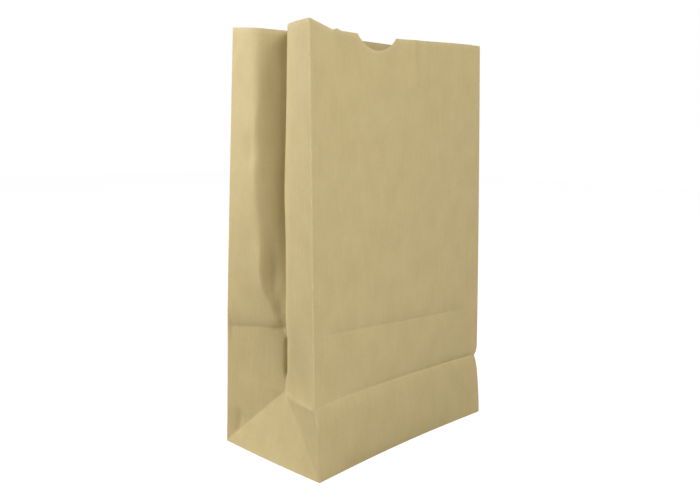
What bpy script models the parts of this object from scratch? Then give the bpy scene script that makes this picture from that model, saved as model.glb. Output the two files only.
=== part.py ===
"""Flat-bottomed kraft paper sack with folded side gussets, modelled as one folded sheet.

The sheet is thought of as the flat tube that it was made from. A place on it is given by the
panel, the length across that panel from its front or left corner, and the length up from the
bottom fold. The functions below bend that sheet the way the real one is folded, keeping those
lengths. Units are metres, +Z is up, the front panel with the thumb notch faces -Y, and the
origin is on the ground under the middle of the bag.
"""

import math

import bmesh
import bpy
from mathutils import Vector

# Driving sizes of the sheet
WIDTH = 0.200            # front and back panels, from corner to corner
DEPTH = 0.105            # a side gusset opened flat, and the bottom from front to back
HEIGHT = 0.322           # from the bottom fold to the cut edge of the back panel
PAPER = 0.0003           # thickness of the sheet

# How far each corner edge has moved at the mouth from the place above its foot
MOUTH_FRONT_LEFT = Vector((-0.0042, 0.0093, 0.0))
MOUTH_FRONT_RIGHT = Vector((-0.0042, 0.0127, 0.0))
MOUTH_BACK_RIGHT = Vector((0.0040, -0.0062, 0.0))
MOUTH_BACK_LEFT = Vector((0.0040, -0.0062, 0.0))

# How far a crease has pulled a corner edge out of line, and how soon it springs back below
KINK_FRONT_LEFT = Vector((-0.0005, 0.0029, 0.0))
KINK_FRONT_RIGHT = Vector((-0.0021, 0.0008, 0.0))
KINK_BACK_LEFT = Vector((-0.0011, 0.0, 0.0))
SPRING_FRONT_LEFT = 0.0080
SPRING_FRONT_RIGHT = 0.0300
SPRING_BACK_LEFT = 0.0500
KNOCK = Vector((-0.0030, 0.0010, 0.0))   # dent of the front right edge at the lower crease
KNOCK_ABOVE = 0.0028                     # height over which the dent fades above the crease
KNOCK_BELOW = 0.0090                     # the same below it

# How far the left corner edges are bent between the lower crease and the mouth
BOW_FRONT_LEFT = Vector((0.0014, 0.0015, 0.0))
BOW_BACK_LEFT = Vector((-0.0011, -0.0010, 0.0))
BOW_SKEW = 0.8             # 1 would put the most of that bend half way

# Side gussets: each half lies flat along the side, then turns in to the pleat
FRONT_FLAT_FOOT = 0.0300   # flat part of the front half, just above the lowest fold
FRONT_FLAT_MOUTH = 0.0245  # the same at the mouth
BACK_FLAT_LOW = 0.0340     # flat part of the back half, just above the upper crease
BACK_FLAT_MOUTH = 0.0290   # the same at the mouth
CUP_RISE = 0.0360          # height over which the pleat opens, cup shaped, above that crease
FRONT_SHOULDER = 0.0060    # half the length of paper that rounds from flat to turned in
BACK_SHOULDER_LOW = 0.0045   # the same in the back half, just above the lower crease
BACK_SHOULDER_MOUTH = 0.0100   # the same at the mouth
FRONT_TURN_RISE = 0.0400   # height over which the front half starts to turn in
BACK_TURN_RISE = 0.1050    # height over which the back half does, above the upper crease

# Soft shape of the broad panels
PANEL_BELLY = 0.0020     # outward swell of the panels at half height
FOOT_BOW = 0.0034        # how far the bottom edges of the panels bow in
SIDE_FOOT_BOW = 0.0010   # how far the bottom edges of the sides bow out
CREASE_PINCH = 0.0016    # depth of the lower crease in the front panel
CREASE_REACH = 0.0080    # height over which a crease fades out
CREASE_RISE = 0.0032     # how far the lower crease bows up, most of all left of the middle
CREASE_SKEW = 0.66       # 1 would put the top of that bow at the middle
IMPRINT_DEPTH = 0.0007   # depth of the upper crease, all round the bag
IMPRINT_SLANT = 0.0090   # how much lower than at the front left corner it runs at the others

# Cut edge at the mouth, as heights below the edge of the back panel
FRONT_CUT_DROP = 0.0092        # front panel, beside the thumb notch
FRONT_RIGHT_DROP = 0.0048      # front right corner
FRONT_LEFT_DROP = 0.0038       # front left corner, which stands up above the front edge
LEFT_EAR = 0.0215              # width of that raised corner
EAR_STEP = 0.0015              # tooth where the raised corner ends
BACK_LEFT_DROP = 0.0030        # back left corner
PLEAT_CUT_DROP = 0.0010        # inner crease of each gusset, below the middle of its corners
NOTCH_WIDTH = 0.0425           # thumb notch
NOTCH_DEPTH = 0.0100
NOTCH_CENTRE = 0.0675          # from the front left corner
TRIM_BAND = 0.0450             # height of the band in which the levels follow the cut edge

# Glued bottom, seen from below
BOTTOM_REACH = 0.0580    # how far the two long flaps reach in from their folds
FOLD_SETBACK = 0.0004    # a flap starts this far in from the outside of its fold

# Lengthwise glued seam on the back panel
SEAM_LAP = 0.0140        # width of the overlap
SEAM_EDGE = 0.0450       # from the back left corner to its free edge
SEAM_END_GAP = 0.0010    # the overlap stops this short of the cut edge and the bottom fold

# Steps of the mesh, as shares of the length that they divide
HALF_SHARES = (0.0, 0.16, 0.32, 0.42, 0.52, 0.62, 0.73, 0.87, 1.0)
LOWER_SHARES = (0.06, 0.15, 0.32, 0.5, 0.7, 0.88, 1.0)
UPPER_SHARES = (0.03, 0.08, 0.15, 0.24, 0.36, 0.52, 0.68, 0.84, 1.0)
TRIM_SHARES = (0.35, 0.7, 1.0)
BACK_SHARES = (0.0, 0.05, 0.15, 0.3, 0.5, 0.7, 0.85, 0.95, 1.0)
NOTCH_STEPS = 12

# Sizes that follow from the ones above
HALF_GUSSET = DEPTH / 2
LOWER_CREASE = DEPTH / 2   # where the front panel folds back when the bag is flat
UPPER_CREASE = DEPTH       # where the bottom's edge presses on the panels when it is flat
FOOT_LEVEL = 2 * PAPER     # the panels stand on the two glued flaps
KRAFT_COLOUR = (0.503, 0.407, 0.212, 1.0)


def ease(share):
    """Smooth step from 0 to 1, flat at both ends."""
    share = min(1.0, max(0.0, share))
    return share * share * (3.0 - 2.0 * share)


def mix(low, high, share):
    """Straight mix of two values or two points."""
    return low + (high - low) * share


def fade(distance, reach):
    """1 on a crease, falling off on both sides with a sharp ridge in the middle."""
    return math.exp(-abs(distance) / reach)


def kink(side, face, up):
    """How far a crease has pulled a corner edge out of line, at a length up."""
    kinks = {
        (-1, -1): (KINK_FRONT_LEFT, LOWER_CREASE, SPRING_FRONT_LEFT, 1),
        (1, -1): (KINK_FRONT_RIGHT, LOWER_CREASE, SPRING_FRONT_RIGHT, 2),
        (1, 1): (Vector((0.0, 0.0, 0.0)), UPPER_CREASE, SPRING_BACK_LEFT, 1),
        (-1, 1): (KINK_BACK_LEFT, UPPER_CREASE, SPRING_BACK_LEFT, 1),
    }
    offset, crease, spring, curve = kinks[(side, face)]
    if up < crease:
        return offset * math.exp((up - crease) / spring) * ease(up / spring)
    return offset * ((HEIGHT - up) / (HEIGHT - crease)) ** curve


def corner(side, face, up):
    """Corner edge of the bag: side is -1 left or 1 right, face is -1 front or 1 back."""
    shifts = {(-1, -1): MOUTH_FRONT_LEFT, (1, -1): MOUTH_FRONT_RIGHT,
              (1, 1): MOUTH_BACK_RIGHT, (-1, 1): MOUTH_BACK_LEFT}
    shift = shifts[(side, face)]
    rise = math.sqrt(HEIGHT ** 2 - shift.length ** 2) / HEIGHT
    foot = Vector((side * WIDTH / 2, face * DEPTH / 2, FOOT_LEVEL))
    point = foot + shift * (up / HEIGHT) + kink(side, face, up) + Vector((0.0, 0.0, up * rise))
    bows = {(-1, -1): BOW_FRONT_LEFT, (-1, 1): BOW_BACK_LEFT}
    if (side, face) in bows and up > LOWER_CREASE:
        climb = (up - LOWER_CREASE) / (HEIGHT - LOWER_CREASE)
        point += bows[(side, face)] * math.sin(math.pi * climb ** BOW_SKEW)
    if (side, face) == (1, -1):
        gap = up - LOWER_CREASE
        point += KNOCK * math.exp(-abs(gap) / (KNOCK_ABOVE if gap > 0.0 else KNOCK_BELOW))
    return point


def imprint(panel, share):
    """Height of the upper crease at a share of the way across a panel."""
    slants = {"front": share, "left": share, "right": 1.0, "back": 1.0}
    return UPPER_CREASE - IMPRINT_SLANT * slants[panel]


def front_point(across, up):
    """Point of the front panel, across from its left corner."""
    share = across / WIDTH
    swell = math.sin(math.pi * share)
    lower = fade(up - LOWER_CREASE, CREASE_REACH)
    push = FOOT_BOW * swell * math.exp(-up / CREASE_REACH)
    push += CREASE_PINCH * math.sqrt(swell) * lower * mix(0.5, 1.0, share)
    push += IMPRINT_DEPTH * math.sqrt(swell) * fade(up - imprint("front", share), CREASE_REACH)
    push -= PANEL_BELLY * swell * math.sin(math.pi * up / HEIGHT)
    lift = CREASE_RISE * math.sin(math.pi * share ** CREASE_SKEW)
    lift *= ease(up / LOWER_CREASE) * ease((UPPER_CREASE - up) / LOWER_CREASE)
    return mix(corner(-1, -1, up), corner(1, -1, up), share) + Vector((0.0, push, lift))


def back_point(across, up):
    """Point of the back panel, across from its right corner, as seen from the front."""
    share = across / WIDTH
    swell = math.sin(math.pi * share)
    push = FOOT_BOW * swell * math.exp(-up / CREASE_REACH)
    push += IMPRINT_DEPTH * math.sqrt(swell) * fade(up - imprint("back", share), CREASE_REACH)
    push -= PANEL_BELLY * swell * math.sin(math.pi * up / HEIGHT)
    return mix(corner(1, 1, up), corner(-1, 1, up), share) + Vector((0.0, -push, 0.0))


def meet(front, front_length, back, back_length):
    """Point inside the bag at the two given lengths from two plan points (inward, along)."""
    span = back - front
    base = span.length
    front_length = min(front_length, base + back_length)
    foot = (front_length ** 2 - back_length ** 2 + base ** 2) / (2 * base)
    foot = min(max(foot, -front_length), front_length)
    height = math.sqrt(max(0.0, front_length ** 2 - foot ** 2))
    direction = span / base
    inward = Vector((direction.y, -direction.x))
    return front + direction * foot + inward * height


def turn_point(start, bend, end, flat, shoulder, length):
    """Point at a length along start-bend-end, with the bend rounded over a shoulder each way."""
    tail = HALF_GUSSET - flat
    reach = min(shoulder, 0.9 * tail, 0.9 * flat)
    if length <= flat - reach:
        return mix(start, bend, length / flat)
    if length >= flat + reach:
        return mix(bend, end, (length - flat) / tail)
    share = (length - flat + reach) / (2 * reach)
    first = mix(bend, start, reach / flat)
    last = mix(bend, end, reach / tail)
    return mix(mix(first, bend, share), mix(bend, last, share), share)


def pleat_plan(depth, up):
    """Plan of a gusset at one level: the bend of each half, and the inner crease between them."""
    open_angle = math.acos(min(1.0, depth / (2 * HALF_GUSSET)))
    climb = (up - LOWER_CREASE) / (HEIGHT - LOWER_CREASE)
    front_flat = mix(FRONT_FLAT_FOOT, FRONT_FLAT_MOUTH, climb)
    front_flat = min(front_flat, 0.9 * HALF_GUSSET)
    back_climb = max(0.0, (up - UPPER_CREASE) / (HEIGHT - UPPER_CREASE))
    open_flat = mix(BACK_FLAT_LOW, BACK_FLAT_MOUTH, back_climb)
    opened = ease((up - UPPER_CREASE) / CUP_RISE)
    back_flat = min(mix(0.97 * HALF_GUSSET, open_flat, opened), 0.97 * HALF_GUSSET)
    front_angle = open_angle * (1.0 - ease((up - LOWER_CREASE) / FRONT_TURN_RISE))
    front_bend = Vector((math.sin(front_angle), math.cos(front_angle))) * front_flat
    back_corner = Vector((0.0, depth))
    straight = meet(front_bend, HALF_GUSSET - front_flat, back_corner, HALF_GUSSET) - back_corner
    back_angle = math.atan2(straight.x, -straight.y)
    back_angle *= 1.0 - ease((up - UPPER_CREASE) / BACK_TURN_RISE)
    back_bend = back_corner + Vector((math.sin(back_angle), -math.cos(back_angle))) * back_flat
    crease = meet(front_bend, HALF_GUSSET - front_flat, back_bend, HALF_GUSSET - back_flat)
    return front_bend, front_flat, back_bend, back_flat, crease


def apex_point(side):
    """Point where the gusset's folds meet, half a gusset above the bottom fold."""
    front = corner(side, -1, LOWER_CREASE)
    back = corner(side, 1, LOWER_CREASE)
    middle = mix(front, back, 0.5)
    inset = math.sqrt(max(0.0, HALF_GUSSET ** 2 - ((back - front).length / 2) ** 2))
    drop = HALF_GUSSET - math.sqrt(HALF_GUSSET ** 2 - inset ** 2)
    return middle + Vector((-side * inset, 0.0, -drop))


def low_gusset_point(side, along, up):
    """Point of a gusset below its apex: one big triangle between two small ones."""
    apex = apex_point(side)
    front_foot = corner(side, -1, 0.0)
    back_foot = corner(side, 1, 0.0)
    from_back = DEPTH - along
    if up <= min(along, from_back):
        share = up / LOWER_CREASE
        place = (along - up) / (DEPTH - 2 * up) if DEPTH > 2 * up else 0.5
        low = mix(front_foot, apex, share)
        high = mix(back_foot, apex, share)
        bow = SIDE_FOOT_BOW * math.sin(math.pi * place) * math.exp(-up / CREASE_REACH)
        return mix(low, high, place) + Vector((side * bow, 0.0, 0.0))
    near = min(along, from_back)
    face = -1 if along < from_back else 1
    foot = front_foot if face < 0 else back_foot
    diagonal = mix(foot, apex, near / LOWER_CREASE)
    edge = corner(side, face, up)
    edge_at_near = corner(side, face, near)
    fold = mix(corner(side, face, LOWER_CREASE), apex, near / LOWER_CREASE)
    share = (up - near) / (LOWER_CREASE - near) if near < LOWER_CREASE else 1.0
    if near == 0.0:
        return edge
    slack = edge - mix(edge_at_near, corner(side, face, LOWER_CREASE), share)
    return mix(diagonal, fold, share) + slack * (1.0 - near / LOWER_CREASE)


def gusset_point(side, along, up):
    """Point of a side gusset, along from its front corner."""
    if up <= LOWER_CREASE:
        return low_gusset_point(side, along, up)
    front = corner(side, -1, up)
    back = corner(side, 1, up)
    span = back - front
    depth = span.length
    front_bend, front_flat, back_bend, back_flat, crease = pleat_plan(depth, up)
    if along <= HALF_GUSSET:
        origin = Vector((0.0, 0.0))
        plan = turn_point(origin, front_bend, crease, front_flat, FRONT_SHOULDER, along)
        place = along / HALF_GUSSET
        base = mix(front.z, mix(front.z, back.z, 0.5), place)
    else:
        back_corner = Vector((0.0, depth))
        climb = ease((up - LOWER_CREASE) / (HEIGHT - LOWER_CREASE))
        shoulder = mix(BACK_SHOULDER_LOW, BACK_SHOULDER_MOUTH, climb)
        plan = turn_point(back_corner, back_bend, crease, back_flat, shoulder, DEPTH - along)
        place = (DEPTH - along) / HALF_GUSSET
        base = mix(back.z, mix(front.z, back.z, 0.5), place)
    backward = Vector((span.x, span.y)).normalized()
    inward = Vector((backward.y, -backward.x)) * -side
    lowered = corner(side, -1, LOWER_CREASE).z - apex_point(side).z
    flat_place = Vector((front.x, front.y)) + inward * plan.x + backward * plan.y
    return Vector((flat_place.x, flat_place.y, base - lowered * place))


def front_cut(across):
    """Height of the cut edge of the front panel, with the raised corner and the thumb notch."""
    right_climb = ease((across - NOTCH_CENTRE) / (WIDTH - NOTCH_CENTRE))
    edge = HEIGHT - mix(FRONT_CUT_DROP, FRONT_RIGHT_DROP, right_climb)
    if across < LEFT_EAR:
        return mix(HEIGHT - FRONT_LEFT_DROP, edge, across / LEFT_EAR)
    tooth = EAR_STEP * max(0.0, 1.0 - abs(across - 1.2 * LEFT_EAR) / (0.2 * LEFT_EAR))
    offset = across - NOTCH_CENTRE
    if abs(offset) < NOTCH_WIDTH / 2:
        radius = (NOTCH_WIDTH ** 2 / 4 + NOTCH_DEPTH ** 2) / (2 * NOTCH_DEPTH)
        edge -= math.sqrt(radius ** 2 - offset ** 2) - (radius - NOTCH_DEPTH)
    return edge + tooth


def back_cut(across):
    """Height of the cut edge of the back panel, which falls away at its left end."""
    return HEIGHT - BACK_LEFT_DROP * ease(2 * across / WIDTH - 1.0)


def gusset_cut(side, along):
    """Height of the cut edge of a gusset, lowest at its inner crease."""
    front = front_cut(0.0) if side < 0 else front_cut(WIDTH)
    back = back_cut(WIDTH) if side < 0 else back_cut(0.0)
    inner = (front + back) / 2 - PLEAT_CUT_DROP
    if along <= HALF_GUSSET:
        return mix(front, inner, along / HALF_GUSSET)
    return mix(back, inner, (DEPTH - along) / HALF_GUSSET)


def front_stations():
    """Lengths across the front panel that the mesh uses, closest at the ear and the notch."""
    notch_start = NOTCH_CENTRE - NOTCH_WIDTH / 2
    notch_end = NOTCH_CENTRE + NOTCH_WIDTH / 2
    stations = [LEFT_EAR * share for share in (0.0, 0.25, 0.5, 0.75, 1.0, 1.2, 1.4)]
    stations.append(mix(stations[-1], notch_start, 0.5))
    stations += [mix(notch_start, notch_end, step / NOTCH_STEPS) for step in range(NOTCH_STEPS + 1)]
    right_shares = (0.06, 0.15, 0.28, 0.42, 0.56, 0.7, 0.82, 0.91, 0.965, 1.0)
    return stations + [mix(notch_end, WIDTH, share) for share in right_shares]


def half_stations():
    """Lengths across one half of a gusset."""
    return [HALF_GUSSET * share for share in HALF_SHARES]


def gusset_stations():
    """Lengths across a gusset from its front corner, the same in both halves."""
    front_half = half_stations()
    return front_half + [DEPTH - length for length in reversed(front_half[:-1])]


def levels(cut, crease):
    """Lengths up one column of the sheet, through the two creases, to its cut edge."""
    trim_start = HEIGHT - TRIM_BAND
    rows = half_stations()
    rows += [mix(LOWER_CREASE, crease, share) for share in LOWER_SHARES]
    rows += [mix(crease, trim_start, share) for share in UPPER_SHARES]
    rows += [mix(trim_start, cut, share) for share in TRIM_SHARES]
    return rows


def back_levels(across):
    """Lengths up one column of the back panel."""
    return levels(back_cut(across), imprint("back", across / WIDTH))


def sheet_columns():
    """Columns of points round the bag, anticlockwise from above, from the front left corner."""
    columns = []
    for across in front_stations()[:-1]:
        rows = levels(front_cut(across), imprint("front", across / WIDTH))
        columns.append([front_point(across, up) for up in rows])
    for along in gusset_stations()[:-1]:
        rows = levels(gusset_cut(1, along), imprint("right", along / DEPTH))
        columns.append([gusset_point(1, along, up) for up in rows])
    for share in BACK_SHARES[:-1]:
        columns.append([back_point(share * WIDTH, up) for up in back_levels(share * WIDTH)])
    for along in reversed(gusset_stations()[1:]):
        rows = levels(gusset_cut(-1, along), imprint("left", along / DEPTH))
        columns.append([gusset_point(-1, along, up) for up in rows])
    return columns


def diagonal_cells():
    """Cells, by column and row, that a slanting fold crosses, with the way it slants."""
    cells = {}
    half_steps = len(HALF_SHARES) - 1
    gusset_steps = 2 * half_steps
    right_start = len(front_stations()) - 1
    left_start = right_start + gusset_steps + len(BACK_SHARES) - 1
    for start in (right_start, left_start):
        for step in range(half_steps):
            cells[(start + step, step)] = True
            cells[(start + gusset_steps - 1 - step, step)] = False
    return cells


def add_sheet(collection):
    """Walls and bottom as one open surface, which Solidify then gives the paper's thickness."""
    columns = sheet_columns()
    folds = diagonal_cells()
    mesh = bmesh.new()
    grid = [[mesh.verts.new(point) for point in column] for column in columns]
    count = len(grid)
    for index in range(count):
        near = grid[index]
        far = grid[(index + 1) % count]
        for row in range(len(near) - 1):
            corners = (near[row], far[row], far[row + 1], near[row + 1])
            rising = folds.get((index, row))
            if rising is None:
                mesh.faces.new(corners)
            elif rising:
                mesh.faces.new((corners[0], corners[1], corners[2]))
                mesh.faces.new((corners[0], corners[2], corners[3]))
            else:
                mesh.faces.new((corners[0], corners[1], corners[3]))
                mesh.faces.new((corners[1], corners[2], corners[3]))
    mesh.faces.new([column[0] for column in reversed(grid)])
    bag = add_object("paper_bag", mesh, collection)
    wall = bag.modifiers.new("paper thickness", "SOLIDIFY")
    wall.thickness = PAPER
    wall.offset = -1.0
    wall.use_even_offset = True
    wall.use_quality_normals = True
    return bag


def add_object(name, mesh, collection):
    """Object from a bmesh, shaded smooth except across the folds."""
    data = bpy.data.meshes.new(name)
    mesh.to_mesh(data)
    mesh.free()
    data.shade_smooth()
    data.set_sharp_from_angle(angle=math.radians(25.0))
    item = bpy.data.objects.new(name, data)
    collection.objects.link(item)
    return item


def add_slab(name, outline, low, high, collection):
    """Flat piece of the bottom, from an outline seen from above."""
    mesh = bmesh.new()
    face = mesh.faces.new([mesh.verts.new((x, y, low)) for x, y in outline])
    extruded = bmesh.ops.extrude_face_region(mesh, geom=[face])
    raised = [item for item in extruded["geom"] if isinstance(item, bmesh.types.BMVert)]
    bmesh.ops.translate(mesh, verts=raised, vec=(0.0, 0.0, high - low))
    bmesh.ops.recalc_face_normals(mesh, faces=mesh.faces)
    return add_object(name, mesh, collection)


def bottom_flap(face):
    """Outline of a long bottom flap, folded in from the front (-1) or the back (1)."""
    fold = face * (DEPTH / 2 - FOOT_BOW - FOLD_SETBACK)
    free = face * (DEPTH / 2 - BOTTOM_REACH)
    fold_half = WIDTH / 2 - FOOT_BOW - FOLD_SETBACK
    free_half = WIDTH / 2 - BOTTOM_REACH
    return [(-fold_half, fold), (fold_half, fold), (free_half, free), (-free_half, free)]


def add_bottom_flaps(collection):
    """The glued bottom: the back flap lies over the front one, and both over the end folds."""
    buried = FOOT_LEVEL + PAPER / 2
    inner = add_slab("front_bottom_flap", bottom_flap(-1), PAPER, buried, collection)
    outer = add_slab("back_bottom_flap", bottom_flap(1), 0.0, buried, collection)
    return [inner, outer]


def add_seam(collection):
    """Glued overlap up the back panel, one paper thickness proud of it."""
    near = WIDTH - SEAM_EDGE - SEAM_LAP
    far = WIDTH - SEAM_EDGE
    top = back_cut(far) - SEAM_END_GAP
    rows = [SEAM_END_GAP] + [up for up in back_levels(far) if SEAM_END_GAP < up < top] + [top]
    proud = Vector((0.0, PAPER, 0.0))
    mesh = bmesh.new()
    grid = []
    for across in (near, far):
        grid.append([mesh.verts.new(back_sheet_point(across, up) + proud) for up in rows])
    for row in range(len(rows) - 1):
        mesh.faces.new((grid[0][row], grid[1][row], grid[1][row + 1], grid[0][row + 1]))
    seam = add_object("back_seam_overlap", mesh, collection)
    wall = seam.modifiers.new("paper thickness", "SOLIDIFY")
    wall.thickness = 1.5 * PAPER
    wall.offset = -1.0
    return seam


def back_sheet_point(across, up):
    """Point on the back panel's flat facets, which the overlap lies on."""
    share = across / WIDTH
    for low, high in zip(BACK_SHARES, BACK_SHARES[1:]):
        if low <= share <= high:
            place = (share - low) / (high - low)
            return mix(back_point(low * WIDTH, up), back_point(high * WIDTH, up), place)
    return back_point(across, up)


def join_to(bag, pieces):
    """Unite the extra layers of paper with the sheet that they are glued to."""
    for piece in pieces:
        piece.hide_render = True
        piece.display_type = "WIRE"
        piece.parent = bag
        glue = bag.modifiers.new("glued " + piece.name, "BOOLEAN")
        glue.operation = "UNION"
        glue.solver = "EXACT"
        glue.object = piece


def kraft_paper():
    """Unbleached brown paper, matt, with a faint machine gloss."""
    material = bpy.data.materials.new("kraft_paper")
    material.use_nodes = True
    shader = material.node_tree.nodes["Principled BSDF"]
    shader.inputs["Base Color"].default_value = KRAFT_COLOUR
    shader.inputs["Roughness"].default_value = 0.75
    shader.inputs["Metallic"].default_value = 0.0
    return material


def centre_in_plan(bag):
    """Move the bag so that the middle of its box stands over the origin."""
    bpy.context.view_layer.update()
    shape = bag.evaluated_get(bpy.context.evaluated_depsgraph_get())
    corners = [Vector(point) for point in shape.bound_box]
    for axis in (0, 1):
        values = [point[axis] for point in corners]
        bag.location[axis] = -(min(values) + max(values)) / 2


def build():
    """Clear the scene and build the bag."""
    for item in list(bpy.data.objects):
        bpy.data.objects.remove(item, do_unlink=True)
    parts = bpy.data.collections.new("paper_bag")
    layers = bpy.data.collections.new("glued_layers")
    bpy.context.scene.collection.children.link(parts)
    bpy.context.scene.collection.children.link(layers)
    bag = add_sheet(parts)
    bag.data.materials.append(kraft_paper())
    join_to(bag, add_bottom_flaps(layers) + [add_seam(layers)])
    centre_in_plan(bag)


build()
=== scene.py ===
"""Brown kraft paper bag with a flat glued bottom, standing open on a pale studio floor.

The bag is one tube of paper, folded. A place on the tube is given by two lengths on the flat
paper: how far round it lies, anticlockwise from the front left corner, and how far up from the
bottom fold. The classes below bend that tube, lay the glued layers on it and dress them all in
kraft paper. Units are metres, +Z is up and the panel with the thumb notch faces -Y.
"""

from __future__ import annotations

import logging
import math
from dataclasses import dataclass, field
from enum import Enum

import bpy
import numpy as np
from mathutils import Matrix, Vector


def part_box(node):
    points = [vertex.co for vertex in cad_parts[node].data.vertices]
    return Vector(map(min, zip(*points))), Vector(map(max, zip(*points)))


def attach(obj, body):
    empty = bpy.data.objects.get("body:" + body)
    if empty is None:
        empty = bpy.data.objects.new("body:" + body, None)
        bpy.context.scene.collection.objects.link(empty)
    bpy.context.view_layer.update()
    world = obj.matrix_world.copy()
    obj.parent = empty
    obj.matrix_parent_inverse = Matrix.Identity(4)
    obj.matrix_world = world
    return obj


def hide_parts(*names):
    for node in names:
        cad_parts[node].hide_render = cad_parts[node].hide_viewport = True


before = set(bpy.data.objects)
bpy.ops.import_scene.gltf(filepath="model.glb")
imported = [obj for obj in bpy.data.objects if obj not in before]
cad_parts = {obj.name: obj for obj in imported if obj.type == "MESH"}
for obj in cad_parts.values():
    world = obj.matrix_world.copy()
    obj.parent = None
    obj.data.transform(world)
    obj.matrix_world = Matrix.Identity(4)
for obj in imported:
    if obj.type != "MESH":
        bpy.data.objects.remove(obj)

BAG_NODE = "paper_bag"
SHEET_MAP = "sheet"
# Attribute of how pale a place is painted: worn paper, and painted highlight along the folds
WEAR_AND_HIGHLIGHT = "fold_wear_and_highlight"
SLACK = "slack"

log = logging.getLogger("paper bag")


# Small helpers


def ease(share: np.ndarray) -> np.ndarray:
    """Smooth step from 0 to 1 that is flat at both ends.

    Args:
        share: Values, of which those outside 0 to 1 are held at the ends.

    Returns:
        The stepped values.
    """
    share = np.clip(share, 0.0, 1.0)
    return share * share * (3.0 - 2.0 * share)


def mix(low: np.ndarray, high: np.ndarray, share: np.ndarray) -> np.ndarray:
    """Straight mix of two values.

    Args:
        low: Value at share 0.
        high: Value at share 1.
        share: How far along.

    Returns:
        The mixed values.
    """
    return low + (high - low) * share


def between(low: np.ndarray, high: np.ndarray, share: np.ndarray) -> np.ndarray:
    """Points on the straight lines from one row of points to another.

    Args:
        low: Points at share 0, or one point.
        high: Points at share 1, or one point.
        share: How far along, one value for each point.

    Returns:
        One point for each share.
    """
    return low + (high - low) * np.asarray(share)[..., None]


def scaled(points: np.ndarray, factor: np.ndarray) -> np.ndarray:
    """Each point of a row times its own factor."""
    return points * np.asarray(factor)[..., None]


def linear_colour(code: str) -> tuple[float, float, float, float]:
    """Linear colour with full alpha from an sRGB hex code.

    Args:
        code: Six hex digits after a hash.

    Returns:
        Red, green, blue and alpha as the shaders want them.
    """
    parts = [int(code[start:start + 2], 16) / 255.0 for start in (1, 3, 5)]
    red, green, blue = (
        part / 12.92 if part <= 0.04045 else ((part + 0.055) / 1.055) ** 2.4 for part in parts
    )
    return red, green, blue, 1.0


def add_node(
    tree: bpy.types.NodeTree, kind: str, feeds: dict | None = None, **settings: object
) -> bpy.types.Node:
    """Add one node to a tree, with its settings and what feeds it.

    Args:
        tree: Shader or geometry tree.
        kind: Name of the node's type.
        feeds: Input name or place, to a value or to the output that is linked to it.
        settings: Attributes of the node itself.

    Returns:
        The new node.
    """
    node = tree.nodes.new(kind)
    for name, value in settings.items():
        setattr(node, name, value)
    for socket, value in (feeds or {}).items():
        if isinstance(value, bpy.types.NodeSocket):
            tree.links.new(value, node.inputs[socket])
        else:
            node.inputs[socket].default_value = value
    return node


def fill_in(marks: list[float], step: float) -> list[float]:
    """Marks along a length, with each gap cut evenly so that none is wider than a step.

    Args:
        marks: Lengths in rising order.
        step: Widest gap that may stay.

    Returns:
        The marks and the new lengths between them.
    """
    filled = [marks[0]]
    for low, high in zip(marks, marks[1:]):
        parts = max(1, math.ceil((high - low) / step - 1e-6))
        filled += [low + (high - low) * part / parts for part in range(1, parts + 1)]
    return filled


def add_piece(name: str, points: np.ndarray, faces: list) -> bpy.types.Object:
    """Add an object at the origin whose mesh has the given points and faces.

    Args:
        name: Name of the object and of its mesh.
        points: Points in the bag's own frame.
        faces: Faces as numbers of points, anticlockwise as seen from outside.

    Returns:
        The object, linked to the scene.
    """
    mesh = bpy.data.meshes.new(name)
    mesh.from_pydata(np.asarray(points).reshape(-1, 3).tolist(), [], faces)
    piece = bpy.data.objects.new(name, mesh)
    bpy.context.scene.collection.objects.link(piece)
    return piece


def lay_flat(piece: bpy.types.Object, lengths: np.ndarray) -> None:
    """Write the UV map that the paper reads: a place on the flat sheet for each face corner."""
    layer = piece.data.uv_layers.new(name=SHEET_MAP)
    layer.data.foreach_set("uv", np.asarray(lengths).astype(np.float32).ravel())


def mark_points(piece: bpy.types.Object, name: str, values: np.ndarray) -> None:
    """Write one value for each point of a piece, as a named attribute."""
    attribute = piece.data.attributes.new(name, "FLOAT", "POINT")
    attribute.data.foreach_set("value", np.asarray(values).astype(np.float32).ravel())


def thicken(piece: bpy.types.Object, wall: float, even: bool) -> None:
    """Grow a sheet inwards from its outer face, as a modifier.

    Args:
        piece: Sheet that has no thickness yet.
        wall: Thickness to give it.
        even: Whether the wall keeps its thickness round sharp folds.
    """
    modifier = piece.modifiers.new("paper thickness", "SOLIDIFY")
    modifier.thickness = wall
    modifier.offset = -1.0
    modifier.use_even_offset = even


class Panel(Enum):
    """Panels of the tube, in the order in which they go round it from the front left corner."""

    FRONT = 0
    RIGHT = 1
    BACK = 2
    LEFT = 3


class Fold(Enum):
    """Kinds of fold and edge that a place on the sheet can lie near."""

    CORNER = "upright corner"
    FOOT = "bottom fold"
    DIAGONAL = "diagonal of a gusset"
    PLEAT = "inner crease of a gusset"
    LOWER = "lower crease"
    UPPER = "upper crease"
    CUT = "cut edge"


# The folded tube


@dataclass(frozen=True)
class CornerEdge:
    """One of the four upright folds of the bag.

    Its foot stands at a corner of the bottom. The kink is how far a crease has pulled it out of
    line: it runs straight from there to the mouth, and springs back just under the crease. The
    knock is a dent at the same height, and the bow is how far the edge is bent between the
    lower crease and the mouth.
    """

    side: int
    face: int
    mouth: tuple[float, float]
    kink: tuple[float, float] = (0.0, 0.0)
    kink_up: float = 0.0525
    kink_under: float = 0.0080
    kink_curve: float = 1.0
    bow_curve: float = 0.8
    knock: tuple[float, float] = (0.0, 0.0)
    knock_over: float = 0.0028
    knock_under: float = 0.0090
    bow: tuple[float, float] = (0.0, 0.0)


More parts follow.
